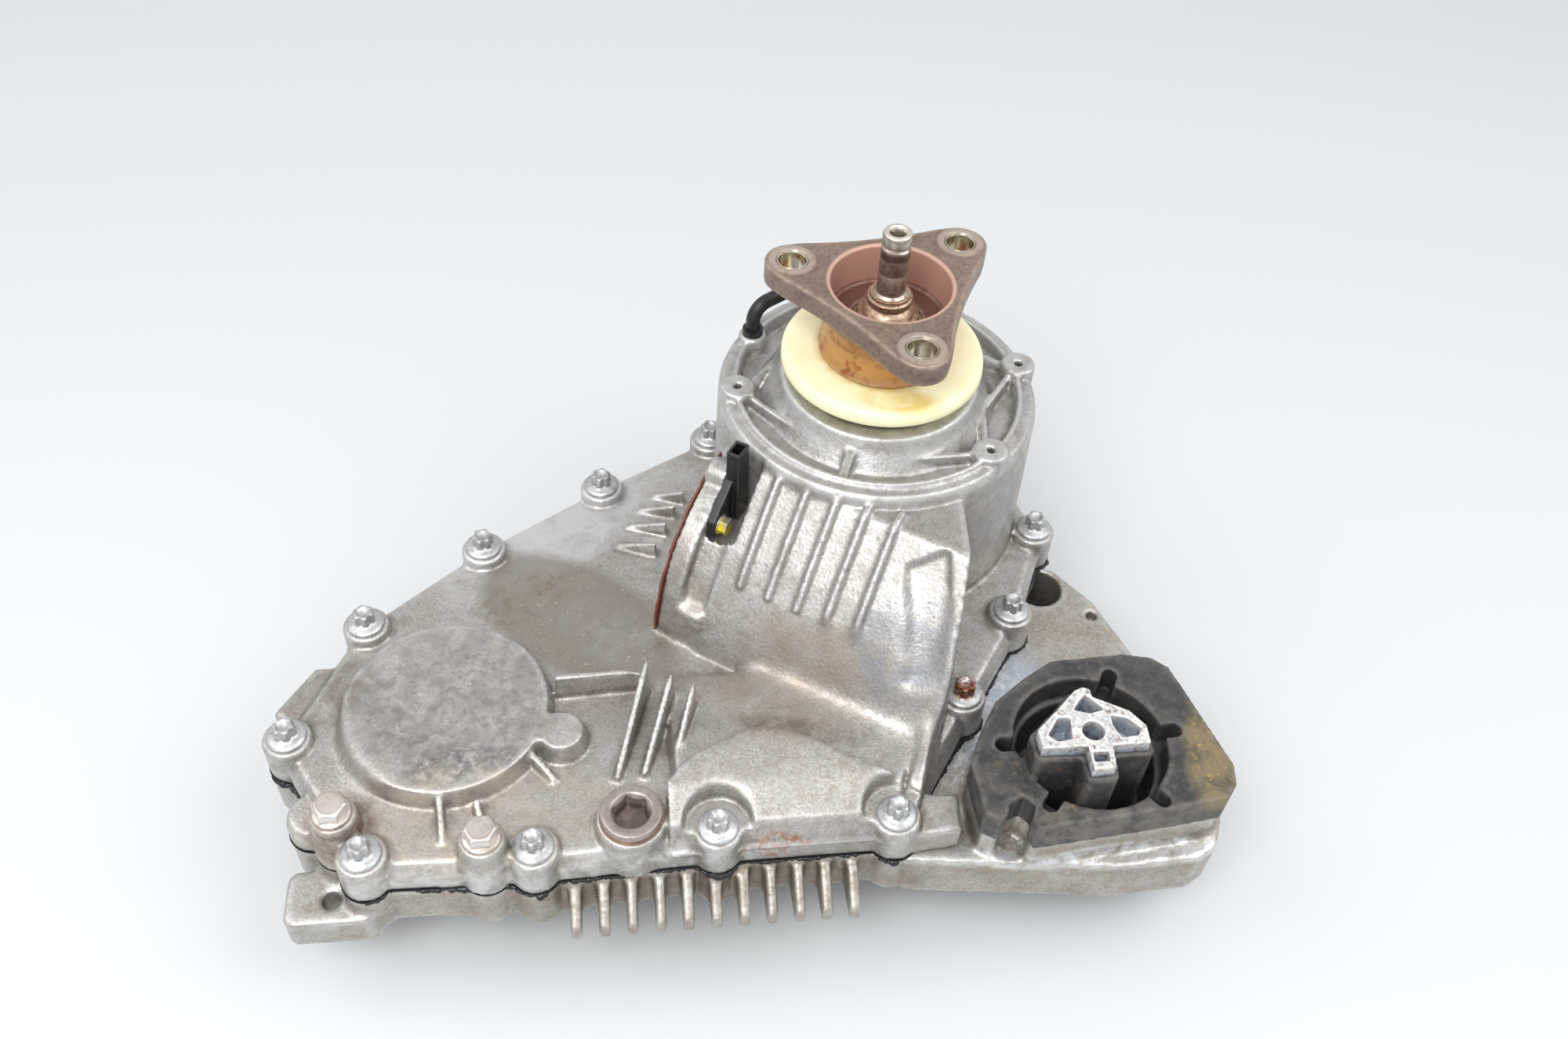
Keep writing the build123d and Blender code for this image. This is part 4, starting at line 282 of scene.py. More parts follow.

# %% [markdown]
# The output flange is a forging with a thin brown rust. Its bowl has gone red, its hub is coppery with oil,
# and its edges are rubbed to steel. The bowl's red is painted paler, as painted light against the shade
# inside it. The shaft's pin is ground, with dark bands where something turned on it, and a painted
# highlight on its chamfered end.

# %% forged and ground steel
FLANGE_PITCH_R, FLANGE_FIRST = 48.0, math.radians(37.4)
flange_corners = [(FLANGE_PITCH_R * math.cos(FLANGE_FIRST + k * math.tau / 3),
                   FLANGE_PITCH_R * math.sin(FLANGE_FIRST + k * math.tau / 3)) for k in range(3)]
flange_patches = [
    # rust clouds, dark freckles and bright chips
    patch("93806F", 0.5, 5, 0.42, 0.62),
    patch("5F4C42", 0.55, 2.2, 0.48, 0.64),
    patch("B5936A", 0.6, 1.6, 0.6, 0.7),
    # the hub under the flange is coppery with oil, with red-brown runs
    patch("B98A55", 0.95, 9, 0.0, 0.3, at=(0, 0, 197), reach=(60, 60, 14), soft=0.2, rough=0.25),
    patch("8A4028", 0.75, 9, 0.5, 0.6, at=(0, 0, 197), reach=(60, 60, 13), soft=0.2),
    # the bowl is red and painted paler, as painted light against the shade inside it, with a dark bottom
    patch("D2A594", 0.97, 9, 0.0, 0.3, at=(0, 0, 216), reach=(30.5, 30.5, 60), soft=0.03, rough=0.6),
    patch("5C4038", 0.9, 9, 0.0, 0.3, at=(0, 0, 203), reach=(29.5, 29.5, 5), soft=0.2, rough=0.4)]
# a rubbed ring round each bush
flange_patches += [patch("A79D92", 0.8, 5, 0.2, 0.5, at=(*at, 225.5), reach=(11.2, 11.2, 2.6), soft=0.15,
                         rough=0.3) for at in flange_corners]
flange_steel = finish("forged_flange_steel", "8C7A6F", "78675E", 0.5, 0.46, 1.0, 0.12,
                      [("B8A594", 0.5, 0.04, 0.2), ("4A382E", 0.6, -0.04, -0.2)], flange_patches)
pin_steel = finish("ground_pin_steel", "C9C2B8", "A69D92", 0.9, 0.3, 0.6, 0.04, None,
                   [patch("7B6857", 0.6, 3, 0.42, 0.6),
                    patch("4E443C", 0.8, 30, 0.0, 0.2, at=(0, 0, 242), reach=(20, 20, 2.0), soft=0.4),
                    # painted highlight on the pin's chamfered end
                    patch("D9D3CA", 0.9, 30, 0.0, 0.2, at=(0, 0, 253), reach=(8, 8, 1.4), soft=0.3)])
nut_steel = finish("rusty_nut_steel", "B39C86", "967B66", 0.75, 0.38, 0.8, 0.08, None,
                   [patch("7A5540", 0.7, 2.6, 0.5, 0.62), patch("D0C0AC", 0.6, 2.0, 0.55, 0.7)])
bush_steel = finish("bright_bush_steel", "D2CDBF", "B3AA97", 0.95, 0.2, 0.6, 0.04, None,
                    [patch("A97F2E", 0.8, 3.0, 0.55, 0.66)])
plain_steel = finish("machined_steel", "9A9996", "858481", 0.95, 0.3)
dark_steel = finish("oiled_steel", "646361", "51504E", 0.95, 0.35)
print("steels", flange_steel.name, pin_steel.name, nut_steel.name, bush_steel.name)

# %% [markdown]
# Rubber is matt, charcoal and dusty. The mount's aluminium core has a white oxide on its rim and bluish
# hollows. The dust cover is a moulded pale yellow plastic with a painted golden shadow under the flange and
# a darker ring round the hub, and the small plug is black.

# %% rubber, oxide and plastics
rubber_patches = [
    patch("55524F", 0.6, 14, 0.42, 0.68),
    patch("6E675E", 0.35, 3, 0.52, 0.7),
    patch("7C6E50", 0.85, 14, 0.3, 0.55, at=(133, -184, 97), reach=(14, 34, 12), turn=-12),
    patch("A9903F", 0.7, 2.5, 0.58, 0.66, at=(132, -180, 97), reach=(9, 22, 8), turn=-12),
    patch("7A7266", 0.5, 7, 0.4, 0.62, at=(80, -213, 88), reach=(64, 7, 14)),
    patch("86704F", 0.5, 5, 0.55, 0.68, at=(46, -196, 92), reach=(24, 20, 18)),
    patch("242425", 0.8, 9, 0.2, 0.5, at=(78, -173, 74), reach=(38, 38, 20))]
rubber = finish("charcoal_rubber", "343334", "2A2A2B", 0.0, 0.5, 1.6, 0.2,
                [("77736D", 0.4, 0.06, 0.35), ("1E1D1E", 0.5, -0.08, -0.4)], rubber_patches)
oxide_patches = [
    patch("9AA3AC", 0.6, 6, 0.45, 0.65),
    patch("A3B1C1", 0.9, 9, 0.0, 0.3, at=(78, -173, 104), reach=(60, 60, 9), soft=0.3, rough=0.35),
    patch("7F6146", 0.8, 2.6, 0.52, 0.62),
    patch("F1F1EF", 0.6, 2.0, 0.5, 0.62, at=(78, -173, 117), reach=(60, 60, 2.5))]
white_oxide = finish("oxidised_aluminium", "DAD9D5", "C3C3C1", 0.35, 0.5, 0.9, 0.12,
                     [("F2F2F0", 0.6, 0.05, 0.3), ("6E6459", 0.6, -0.05, -0.3)], oxide_patches)
black_plastic = finish("moulded_black_plastic", "1C1C1D", "141415", 0.0, 0.4, 1.0, 0.03,
                       [("5A5A5A", 0.35, 0.05, 0.3)], [patch("4A4743", 0.4, 4, 0.55, 0.7)])
cream_plastic = finish("moulded_cream_plastic", "FBF5D2", "F6EEC2", 0.0, 0.42, 1.8, 0.03, None,
                       [patch("EDE2AE", 0.4, 12, 0.45, 0.7),
                        # painted golden shadow under the flange's boss
                        patch("D9BC5E", 0.8, 14, 0.2, 0.5, at=(2, -39, 186), reach=(17, 8, 4), turn=-12,
                              soft=0.6),
                        patch("C9A85C", 0.7, 12, 0.3, 0.55, at=(0, 0, 186), reach=(33, 33, 3), soft=0.1)])
sealant_black = finish("black_sealant", "1B1B1D", "111112", 0.0, 0.28, 1.5, 0.1)
seal_red = finish("red_brown_sealant", "7A3F30", "5E2F24", 0.0, 0.45, 1.5, 0.1)
seal_rubber = finish("seal_rubber", "2A1C17", "1E1411", 0.0, 0.5)
lining = finish("friction_lining", "5A4A3C", "4A3C30", 0.0, 0.85)
print("soft finishes", rubber.name, white_oxide.name, cream_plastic.name, black_plastic.name)

# %% [markdown]
# Every CAD piece that stays in view or inside the case gets the finish of its material slot.

# %% finishes of the CAD pieces
CAD_FINISHES = {
    "casting": cast_front, "sealant": sealant_black, "seal_compound": seal_red, "zinc_bolt": zinc,
    "hex_bolt": golden_zinc, "plug_metal": plug_metal, "copper_washer": copper, "mount_rubber": rubber,
    "mount_aluminium": white_oxide, "black_plastic": black_plastic, "screw_steel": screw_steel,
    "flange_steel": flange_steel, "shaft_steel": pin_steel, "nut_steel": nut_steel,
    "cream_plastic": cream_plastic, "bearing_steel": plain_steel, "seal_rubber": seal_rubber,
    "chain_steel": dark_steel, "gear_steel": plain_steel, "friction_lining": lining,
    "spring_steel": plain_steel}


def paint(made, material):
    """Give a piece one material."""
    made.data.materials.clear()
    made.data.materials.append(material)


for row in frame["record"]["subparts"]:
    paint(frame["nodes"][row["node"]], CAD_FINISHES[row["material_slot"]])
print("CAD pieces painted", len(frame["nodes"]))

# %% [markdown]
# New pieces are meshes of whole arrays. A piece is a list of points in millimetres and blocks of faces,
# where the faces of one block have equally many corners. Pieces that meet themselves at a pole are welded
# there.

# %% meshes from arrays
WELD_M = 1e-7


def placed(name, mesh, body=None, material=None):
    """Object from a mesh. Where a body is given it rides on that CAD body and takes a slot's finish."""
    mesh.polygons.foreach_set("use_smooth", [True] * len(mesh.polygons))
    made = bpy.data.objects.new(name, mesh)
    bpy.context.scene.collection.objects.link(made)
    if body:
        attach(made, body)
        paint(made, material)
        print(name, "faces", len(mesh.polygons))
    return made


def new_piece(name, points, blocks, body=None, slot=None, material=None, sharp_degrees=None):
    """Piece in metres from points in mm. With sharp_degrees its poles are welded, and edges that turn by
    more than that stay sharp."""
    mesh = bpy.data.meshes.new(name)
    faces = [face for block in blocks for face in np.asarray(block).tolist()]
    mesh.from_pydata((np.asarray(points, float) * MM).tolist(), [], faces)
    if sharp_degrees:
        work = bmesh.new()
        work.from_mesh(mesh)
        bmesh.ops.remove_doubles(work, verts=work.verts, dist=WELD_M)
        work.to_mesh(mesh)
        work.free()
    made = placed(name, mesh, body, material)
    if sharp_degrees:
        mesh.set_sharp_from_angle(angle=math.radians(sharp_degrees))
    return made


def joined(parts):
    """Many (points, blocks) as one: the face numbers of a part go up by the points before it."""
    starts = np.cumsum([0] + [len(points) for points, blocks in parts])
    blocks = [np.asarray(block) + start for part, start in zip(parts, starts) for block in part[1]]
    return np.concatenate([points for points, _ in parts]), blocks


# %% [markdown]
# Bolts, bushes, the nut and the dust cover are turned or pressed round an axis. A lathe could make the
# round ones and a boolean the heads, but one formula does both: a ring whose radius may swell in lobes or
# in a hexagon.

# %% turned pieces
def rings(profile, centre=(0.0, 0.0), turn=0.0, count=96, lobes=6):
    """Rings round an axis. Profile rows are (radius, height, star, hexagon), the last two 0 where left out.
    At angle a the ring reaches radius * (1 - hexagon + hexagon / cos b) + star * cos(lobes * a), where b is
    the angle to the middle of the nearest of six sides. A profile from axis to axis is closed by its poles,
    and any other by joining its last ring to its first. It runs from the lowest ring outwards and up."""
    rows = np.zeros((len(profile), 4))
    for column, values in enumerate(zip(*[(*row, 0.0, 0.0)[:4] for row in profile])):
        rows[:, column] = values
    radius, height, star, hexagon = (rows[:, k][:, None] for k in range(4))
    angle = np.arange(count) * 2 * np.pi / count
    side = (angle + np.pi / 6) % (np.pi / 3) - np.pi / 6
    reach = radius * (1 - hexagon + hexagon / np.cos(side)) + star * np.cos(lobes * angle)
    points = np.stack([centre[0] + reach * np.cos(angle + turn), centre[1] + reach * np.sin(angle + turn),
                       height + 0 * angle], -1)
    i = np.arange(len(rows) - (rows[0, 0] == 0))[:, None]
    j = np.arange(count)[None, :]
    above, beside = (i + 1) % len(rows), (j + 1) % count
    quads = np.stack([i * count + j, i * count + beside, above * count + beside, above * count + j], -1)
    return points.reshape(-1, 3), [quads.reshape(-1, 4)]


# %% [markdown]
# The two castings meet on a bolted joint: fourteen bolts with star heads and two hex bolts. The heads are
# pressed with a washer face, a chamfer under the star and a dimple on top.

# %% case bolts
FLANGE_BOLTS = [(-244, -199), (-282, -137), (-253, -74), (-199, -28), (-139, 12), (-79, 46), (-25, 90),
                (62, 70), (86, -32), (62, -86), (28, -135), (-14, -197), (-93, -197.5), (-172, -201)]
HEX_BOLTS = [(-256, -183), (-193, -199.5)]
draw = np.random.default_rng(7)
star_head = [(0, 80), (4, 80), (4, 85), (8.8, 85), (9, 85.3), (9, 86.3), (8.7, 86.8), (7.0, 87.4),
             (5.6, 87.8), (4.9, 88.3, 0.2), (4.65, 88.8, 0.5), (4.6, 93.0, 0.5), (4.45, 93.7, 0.42),
             (4.0, 94.15, 0.2), (3.2, 94.2), (2.8, 93.9), (1.9, 93.1), (0, 92.8)]
star_bolts = [rings(star_head, at, spin) for at, spin in zip(FLANGE_BOLTS, draw.uniform(0, 1, 14))]
case_bolts = new_piece("star_bolts", *joined(star_bolts), "case", "zinc_bolt", zinc, 40)
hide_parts("case_bolts")

hex_head = [(0, 88), (4, 88), (4, 93), (8.3, 93), (8.6, 93.3), (8.6, 94.2), (8.2, 94.7), (7.7, 94.9),
            (6.45, 95.2, 0, 1), (6.5, 95.5, 0, 1), (6.5, 99.8, 0, 1), (6.4, 100.2, 0, 0.75),
            (6.0, 100.8, 0, 0.3), (5.5, 101.0), (4.9, 101.0), (4.7, 100.8), (0, 100.8)]
hex_pair = [rings(hex_head, at, spin) for at, spin in zip(HEX_BOLTS, draw.uniform(0, 1, 2))]
hex_bolts = new_piece("tinted_hex_bolts", *joined(hex_pair), "case", "hex_bolt", golden_zinc, 40)
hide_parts("hex_bolts")

# %% [markdown]
# The oil plug screws into its own boss. Its hex socket is broached, so its mouth has a round chamfer, which
# the ring formula gives by letting the hexagon's share grow with the depth.

# %% oil plug
PLUG_AT = (-130.0, -191.0)
plug_profile = [(0, 76.6), (10.9, 76.6), (10.9, 89), (13.2, 89), (13.5, 89.3), (13.5, 92.0), (13.2, 92.7),
                (12.6, 93), (9.6, 93), (8.9, 92.7), (8.3, 92.0, 0, 0.15), (7.4, 91.0, 0, 0.7),
                (7.0, 90.2, 0, 1), (7.0, 84.6, 0, 1), (6.7, 84.2, 0, 0.9), (0, 84.0)]
plug = new_piece("socket_plug", *rings(plug_profile, PLUG_AT, 0.25), "case", "plug_metal", plug_metal, 40)
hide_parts("oil_plug")

# %% [markdown]
# On the shaft sit the dust cover, a moulded ring with a soft rim, the bushes of the flange, and the collar
# nut in the flange's bowl with its steps and its thread, drawn as rings a thread pitch apart. The shaft
# itself is one profile from the splined bore below to the centre hole of its pin.

# %% dust cover, bushes, nut and shaft
cover_profile = [(22.4, 181), (34, 178.2), (39, 178), (39, 171.5), (41, 171.5), (41, 178), (47.6, 178),
                 (48.7, 178.3), (49.2, 179.1), (49.1, 181.5), (48.9, 183.2), (48.4, 184.4), (47.4, 185.3),
                 (45.9, 185.8), (44, 186), (31, 186), (22.4, 186)]
dust_cover = new_piece("dust_ring", *rings(cover_profile, count=192), "main_shaft", "cream_plastic",
                       cream_plastic, 40)
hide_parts("dust_cover")

bush_profile = [(6.25, 213.5), (7.5, 213.5), (7.5, 224.6), (7.25, 224.9), (6.8, 224.9), (6.3, 224.3),
                (6.25, 223.6)]
bush_trio = [rings(bush_profile, at) for at in flange_corners]
bushes = new_piece("bevelled_bushes", *joined(bush_trio), "main_shaft", "bearing_steel", bush_steel, 40)
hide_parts("flange_bushes")

THREAD_PITCH, THREAD_TURNS = 0.9, 5
thread_z = 208.4 + THREAD_PITCH / 2 * np.arange(2 * THREAD_TURNS)
thread = [(12.4 - 0.5 * (k % 2), z) for k, z in enumerate(thread_z)]
nut_profile = [(8, 203.5), (14.5, 203.5), (15, 204), (15, 206.6), (14.6, 207.3), (13.4, 207.7), (12.0, 208),
               *thread, (11.0, 213.3), (10.2, 213.7), (10.2, 214.8), (10.9, 215.1), (10.9, 217.3),
               (10.4, 217.8), (9.7, 218), (9.5, 219.2), (9.0, 219.5), (8, 219.5)]
SPLINE_COUNT = 16
shaft_profile = [(0, 42), (14.2, 42), (14.6, 41.5, 0.6), (14.6, 7.2, 0.6), (15.8, 6, 0.1), (18.5, 6),
                 (20, 7.5), (20, 36), (25, 36), (25, 44), (23, 44), (23, 76), (21, 76), (21, 112.3),
                 (20, 112.3), (20, 158), (17, 158), (17, 202.5), (8, 202.5), (8, 219.5), (6.9, 220.5),
                 (6.9, 231), (6.75, 231.4), (6.75, 232.2), (6.9, 232.6), (6.9, 245), (6.2, 245.5),
                 (6.0, 246.3), (6.2, 247), (6.9, 247.5), (6.9, 251.6), (6.5, 252.5), (5.7, 253), (4.6, 253),
                 (3.9, 252.4), (3.2, 250), (2.6, 246), (0, 245)]
shaft = new_piece("ground_shaft", *rings(shaft_profile, count=192, lobes=SPLINE_COUNT), "main_shaft",
                  "shaft_steel", pin_steel, 35)
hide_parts("main_shaft")
nut = new_piece("stepped_nut", *rings(nut_profile), "main_shaft", "nut_steel", nut_steel, 40)
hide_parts("collar_nut")

# %% [markdown]
# Castings and mouldings have no sharp corners, and their walls, ribs and bosses run into each other in
# fillets. Bevels would have to be cut edge by edge on each CAD solid. Here the solids are wrapped in a fine
# voxel skin instead, and the skin is relaxed, which rounds every corner by about as much as a pattern maker
# would.

# %% skins over solids
TRIANGLE_LIMIT = 190000
EASE_RISE, EASE_MOST = 1.3, 0.9


def cad_part(name):
    """Points in mm and triangles of a CAD piece."""
    mesh = frame["nodes"][name].data
    points, triangles = np.empty(len(mesh.vertices) * 3), np.empty(len(mesh.loops), np.int32)
    mesh.vertices.foreach_get("co", points)
    mesh.loops.foreach_get("vertex_index", triangles)
    return points.reshape(-1, 3) / MM, [triangles.reshape(-1, 3)]


def mesh_links(mesh):
    """Each edge both ways as (here, there), how many neighbours each point has, and the points in metres."""
    points, ends = np.empty(len(mesh.vertices) * 3), np.empty(len(mesh.edges) * 2, np.int32)
    mesh.vertices.foreach_get("co", points)
    mesh.edges.foreach_get("vertices", ends)
    here, there = np.r_[ends[::2], ends[1::2]], np.r_[ends[1::2], ends[::2]]
    neighbours = np.maximum(np.bincount(here, minlength=len(mesh.vertices)), 1)
    return here, there, neighbours, points.reshape(-1, 3)


def feel_edges(mesh, passes):
    """Store as wear, in mm, how far a point stands out along its normal from where it would lie
    if it moved to the mean of its neighbours as many times as there are passes."""
    count = len(mesh.vertices)
    normals = np.empty(count * 3)
    mesh.vertex_normals.foreach_get("vector", normals)
    here, there, neighbours, start = mesh_links(mesh)
    flat = start.copy()
    for _ in range(passes):
        sums = np.stack([np.bincount(here, flat[there, k], count) for k in range(3)], 1)
        flat = sums / neighbours[:, None]
    wear = ((start - flat) * normals.reshape(-1, 3)).sum(1) / MM
    mesh.attributes.new("wear", "FLOAT", "POINT").data.foreach_set("value", wear.astype(np.float32))


def eased(mesh, places):
    """Round the big fillets: near each place a point moves towards the mean of its neighbours, as many times
    as the place asks. Its share is EASE_RISE * (1 - (distance / reach) ** 2), kept from 0 to EASE_MOST."""
    count = len(mesh.vertices)
    here, there, neighbours, points = mesh_links(mesh)
    for at, reach, passes in places:
        share = np.clip(EASE_RISE - (((points / MM - at) / reach) ** 2).sum(1) * EASE_RISE, 0.0, EASE_MOST)
        touched = share[here] > 0
        a, b = here[touched], there[touched]
        for _ in range(passes):
            sums = np.stack([np.bincount(a, points[b, k], count) for k in range(3)], 1)
            mean = sums / neighbours[:, None]
            points = np.where(share[:, None] > 0, points + share[:, None] * (mean - points), points)
    mesh.vertices.foreach_set("co", points.ravel())
    mesh.update()


def skinned(name, parts, voxel_mm, body, material, relaxing=3, passes=8, fillets=()):
    """One rounded skin over overlapping solids, thinned where it has too many triangles for one piece."""
    work = new_piece(name + "_solids", *joined(parts))
    skin = work.modifiers.new("skin", "REMESH")
    skin.mode, skin.voxel_size = "VOXEL", voxel_mm * MM
    relax = work.modifiers.new("relax", "SMOOTH")
    relax.factor, relax.iterations = 0.5, relaxing
    mesh = bpy.data.meshes.new_from_object(work.evaluated_get(bpy.context.evaluated_depsgraph_get()))
    triangles = sum(len(face.vertices) - 2 for face in mesh.polygons)
    eased(mesh, fillets)
    if triangles > TRIANGLE_LIMIT:
        work.modifiers.clear()
        work.data = mesh
        work.modifiers.new("thin", "DECIMATE").ratio = TRIANGLE_LIMIT / triangles
        mesh = bpy.data.meshes.new_from_object(work.evaluated_get(bpy.context.evaluated_depsgraph_get()))
    bpy.data.objects.remove(work)
    mesh.name = name
    feel_edges(mesh, passes)
    print(name, "skin triangles", triangles)
    return placed(name, mesh, body, material)


# %% [markdown]
# A skin would also line the hidden hollows inside a casting, at the cost of its triangles. So the hollows
# are filled first: with prisms over plan outlines, and with prisms along the cam shaft for the actuator
# housing.

# %% fillers
CAM_TURN = math.radians(-33)
CAM_ALONG = np.array([math.cos(CAM_TURN), math.sin(CAM_TURN), 0.0])
CAM_ACROSS = np.array([CAM_ALONG[1], -CAM_ALONG[0], 0.0])


def prism_blocks(count):
    """Faces of a prism whose lower points come first: a wall on each side and the two ends."""
    k = np.arange(count)
    walls = np.stack([k, (k + 1) % count, (k + 1) % count + count, k + count], -1)
    return [walls, [k[::-1]], [k + count]]


def prism(outline, z0, z1):
    """Straight prism over a plan outline."""
    outline = np.asarray(outline, float)
    return np.r_[np.c_[outline, np.full(len(outline), z0)], np.c_[outline, np.full(len(outline), z1)]], \
        prism_blocks(len(outline))


def cam_prism(outline, start, end):
    """Prism over an outline of (distance across the cam shaft, height), between two distances along the
    shaft; the end may be a distance for each point of the outline."""
    outline = np.asarray(outline, float)
    flat = outline[:, :1] * CAM_ACROSS + np.c_[np.zeros((len(outline), 2)), outline[:, 1]]
    reach = np.full(len(outline), end) if np.isscalar(end) else end
    return np.r_[flat + CAM_ALONG * start, flat + CAM_ALONG * reach[:, None]], prism_blocks(len(outline))


def circle(centre, radius, count=64):
    """Points of a circle in plan."""
    angle = np.arange(count) * 2 * np.pi / count
    return np.c_[centre[0] + radius * np.cos(angle), centre[1] + radius * np.sin(angle)]


def inset(outline, amount):
    """Closed outline moved inwards: each corner goes along its bisector until both its sides have moved."""
    p = np.asarray(outline, float)
    before, after = p - np.roll(p, 1, 0), np.roll(p, -1, 0) - p
    left = [np.c_[-d[:, 1], d[:, 0]] / np.linalg.norm(d, axis=1)[:, None] for d in (before, after)]
    middle = (left[0] + left[1]) / np.linalg.norm(left[0] + left[1], axis=1)[:, None]
    area = np.sum(p[:, 0] * np.roll(p, -1, 0)[:, 1] - np.roll(p, -1, 0)[:, 0] * p[:, 1])
    return p + middle * (np.sign(area) * amount / np.maximum(np.sum(middle * left[0], 1), 0.5))[:, None]


# %% [markdown]
# The rear casting carries the tower, the actuator housing, the chain cover and all the bosses. The
# housing's end wall slants, so its filler ends where a line along the shaft meets that wall, found by a few
# corrections. The pattern's big fillets are far rounder than its edges: along the foot of the housing,
# where it runs out into the cover, over the lobe in front and round the lower left. They are eased at the
# places listed.

# %% rear casting
FRONT_AXIS = (-212.27, -127.54)
ABOVE_JOINT, COVER_INSIDE, PAD_TOP, TOWER_INSIDE, LOWER_BOSS_INSIDE = 64.5, 76.0, 84.9, 151.5, 86.5
TOWER_HOLLOW_R, LOWER_HOLLOW_R, BOSS_R = 75, 30, 11.0
HOUSING_HOLLOW = [(39, 74.5), (39, 151), (77, 151), (102, 125), (112, 113), (122, 99), (129, 87),
                  (133, 74.5)]
END_WALL = np.array([(31.0, -60.0), (27.0, -106.0), (17.0, -146.0), (-3.0, -188.0)])
WALL_INSET = 3.0
CORRECTIONS = 8
across_mm = np.array(HOUSING_HOLLOW)[:, 0]
along_mm = np.full(len(across_mm), 60.0)
for _ in range(CORRECTIONS):
    plan_y = along_mm * CAM_ALONG[1] + across_mm * CAM_ACROSS[1]
    wall_x = np.interp(-plan_y, -END_WALL[:, 1], END_WALL[:, 0]) - WALL_INSET
    along_mm = (wall_x - across_mm * CAM_ACROSS[0]) / CAM_ALONG[0]
rear_parts = [cad_part("rear_case"), prism(inset(FLANGE_BOLTS, 1.0), ABOVE_JOINT, COVER_INSIDE),
              prism(circle((0, 0), TOWER_HOLLOW_R, 96), ABOVE_JOINT, TOWER_INSIDE),
              prism(circle(FRONT_AXIS, LOWER_HOLLOW_R), ABOVE_JOINT, LOWER_BOSS_INSIDE),
              cam_prism(HOUSING_HOLLOW, -24.0, 46.0), cam_prism(HOUSING_HOLLOW, 44.0, along_mm)]
rear_parts += [prism(circle(p, BOSS_R, 40), ABOVE_JOINT, PAD_TOP) for p in FLANGE_BOLTS]
# places of the big fillets: centre and reach in mm, and passes
housing_foot = [(-118, -104, 88), (-98, -116, 88), (-78, -124, 90), (-58, -134, 90), (-38, -143, 90),
                (-18, -152, 90), (0, -160, 90)]
rear_fillets = [(at, (17, 17, 14), 60) for at in housing_foot]
rear_fillets += [((-52, -124, 104), (62, 20, 20), 40), ((6, -120, 112), (22, 44, 34), 26),
                 ((-60, -170, 99), (60, 40, 14), 16), ((5, -166, 92), (16, 28, 18), 10),
                 ((-112, -98, 96), (22, 34, 26), 14), ((-250, -146, 86), (24, 30, 10), 30)]
rear_casting = skinned("rear_casting", rear_parts, 1.15, "case", cast_rear, fillets=rear_fillets)
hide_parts("rear_case")

# %% [markdown]
# The front casting has the cooling fins, the mounting arm, the bell towards the gearbox and a lug. Its
# chain space is closed by the rear casting, so one prism fills it.

# %% front casting
CHAIN_SPACE = (43.5, 63.6)
front_parts = [cad_part("front_case"), prism(inset(FLANGE_BOLTS, 1.0), *CHAIN_SPACE)]
front_casting = skinned("front_casting", front_parts, 1.4, "case", cast_front)
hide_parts("front_case")

# %% [markdown]
# The flange, the rubber mount with its core, and the coding plug with its screw are skinned in the same
# way, with finer voxels. A low ring round each bush is added to the flange before it is skinned.

# %% flange, mount and plug
boss_ring = [(7.6, 223.5), (11.3, 223.5), (11.3, 224.9), (10.6, 225.3), (8.2, 225.3), (7.6, 224.9)]
flange_parts = [cad_part("output_flange")] + [rings(boss_ring, at) for at in flange_corners]
flange = skinned("forged_flange", flange_parts, 0.72, "main_shaft", flange_steel, 2, 6)
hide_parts("output_flange")
for node_name, piece_name, voxel_mm, slot_name, material, relaxing, passes in (
        ("rubber_mount", "moulded_mount", 0.9, "mount_rubber", rubber, 3, 10),
        ("mount_core", "oxidised_core", 0.5, "mount_aluminium", white_oxide, 2, 8),
        ("coding_plug", "moulded_plug", 0.4, "black_plastic", black_plastic, 2, 10),
        ("plug_screw", "plug_hex_screw", 0.3, "screw_steel", screw_steel, 1, 8)):
    piece = skinned(piece_name, [cad_part(node_name)], voxel_mm, "case", material, relaxing,
                    passes)
    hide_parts(node_name)

# %% [markdown]
# Sealant squeezed out of the joint when it was bolted up, and hardened as an uneven black bead. Beads could
# be a tube of changing width, but real ones are lumps that ran together: here small balls along the joint's
# edge, kept where a slow random wave is high, are skinned into one piece.

# %% squeezed sealant
JOINT_Z, WALL_OUT, BEAD_STEP = 64.0, 6.0, 1.1
BEAD_LEAST, BEAD_MOST, BEAD_OUT = 0.35, 2.3, 0.3
WAVE_MM = (3.1, 7.7, 13.0)
corners = np.array(FLANGE_BOLTS, float)
bead_points, bead_radii = [], []
for start, end in zip(corners, np.roll(corners, -1, 0)):
    length = np.linalg.norm(end - start)
    along = np.arange(0.0, length, BEAD_STEP)
    forward = (end - start) / length
    outward = np.array([-forward[1], forward[0]])
    nearest = np.minimum(along, length - along)
    out = np.maximum(WALL_OUT, np.sqrt(np.maximum(BOSS_R ** 2 - nearest ** 2, 0.0)))
    wave = sum(np.sin(along / length_mm + draw.uniform(0, 6.3)) for length_mm in WAVE_MM) / len(WAVE_MM)
    size = np.clip(1.0 + wave + draw.normal(0, 0.25, len(along)), 0.0, BEAD_MOST)
    spot = start + forward * along[:, None] + outward * (out + BEAD_OUT)[:, None]
    height = JOINT_Z - 0.5 * size + draw.normal(0, 0.25, len(along))
    kept = size > BEAD_LEAST
    bead_points.append(np.c_[spot, height][kept])
    bead_radii.append(size[kept])
bead_points, bead_radii = np.concatenate(bead_points), np.concatenate(bead_radii)
latitude = np.linspace(-np.pi / 2, np.pi / 2, 6)
ball, ball_blocks = rings(np.c_[np.cos(latitude).round(9), np.sin(latitude)], count=8)
low, high = np.array(cad_box) / MM
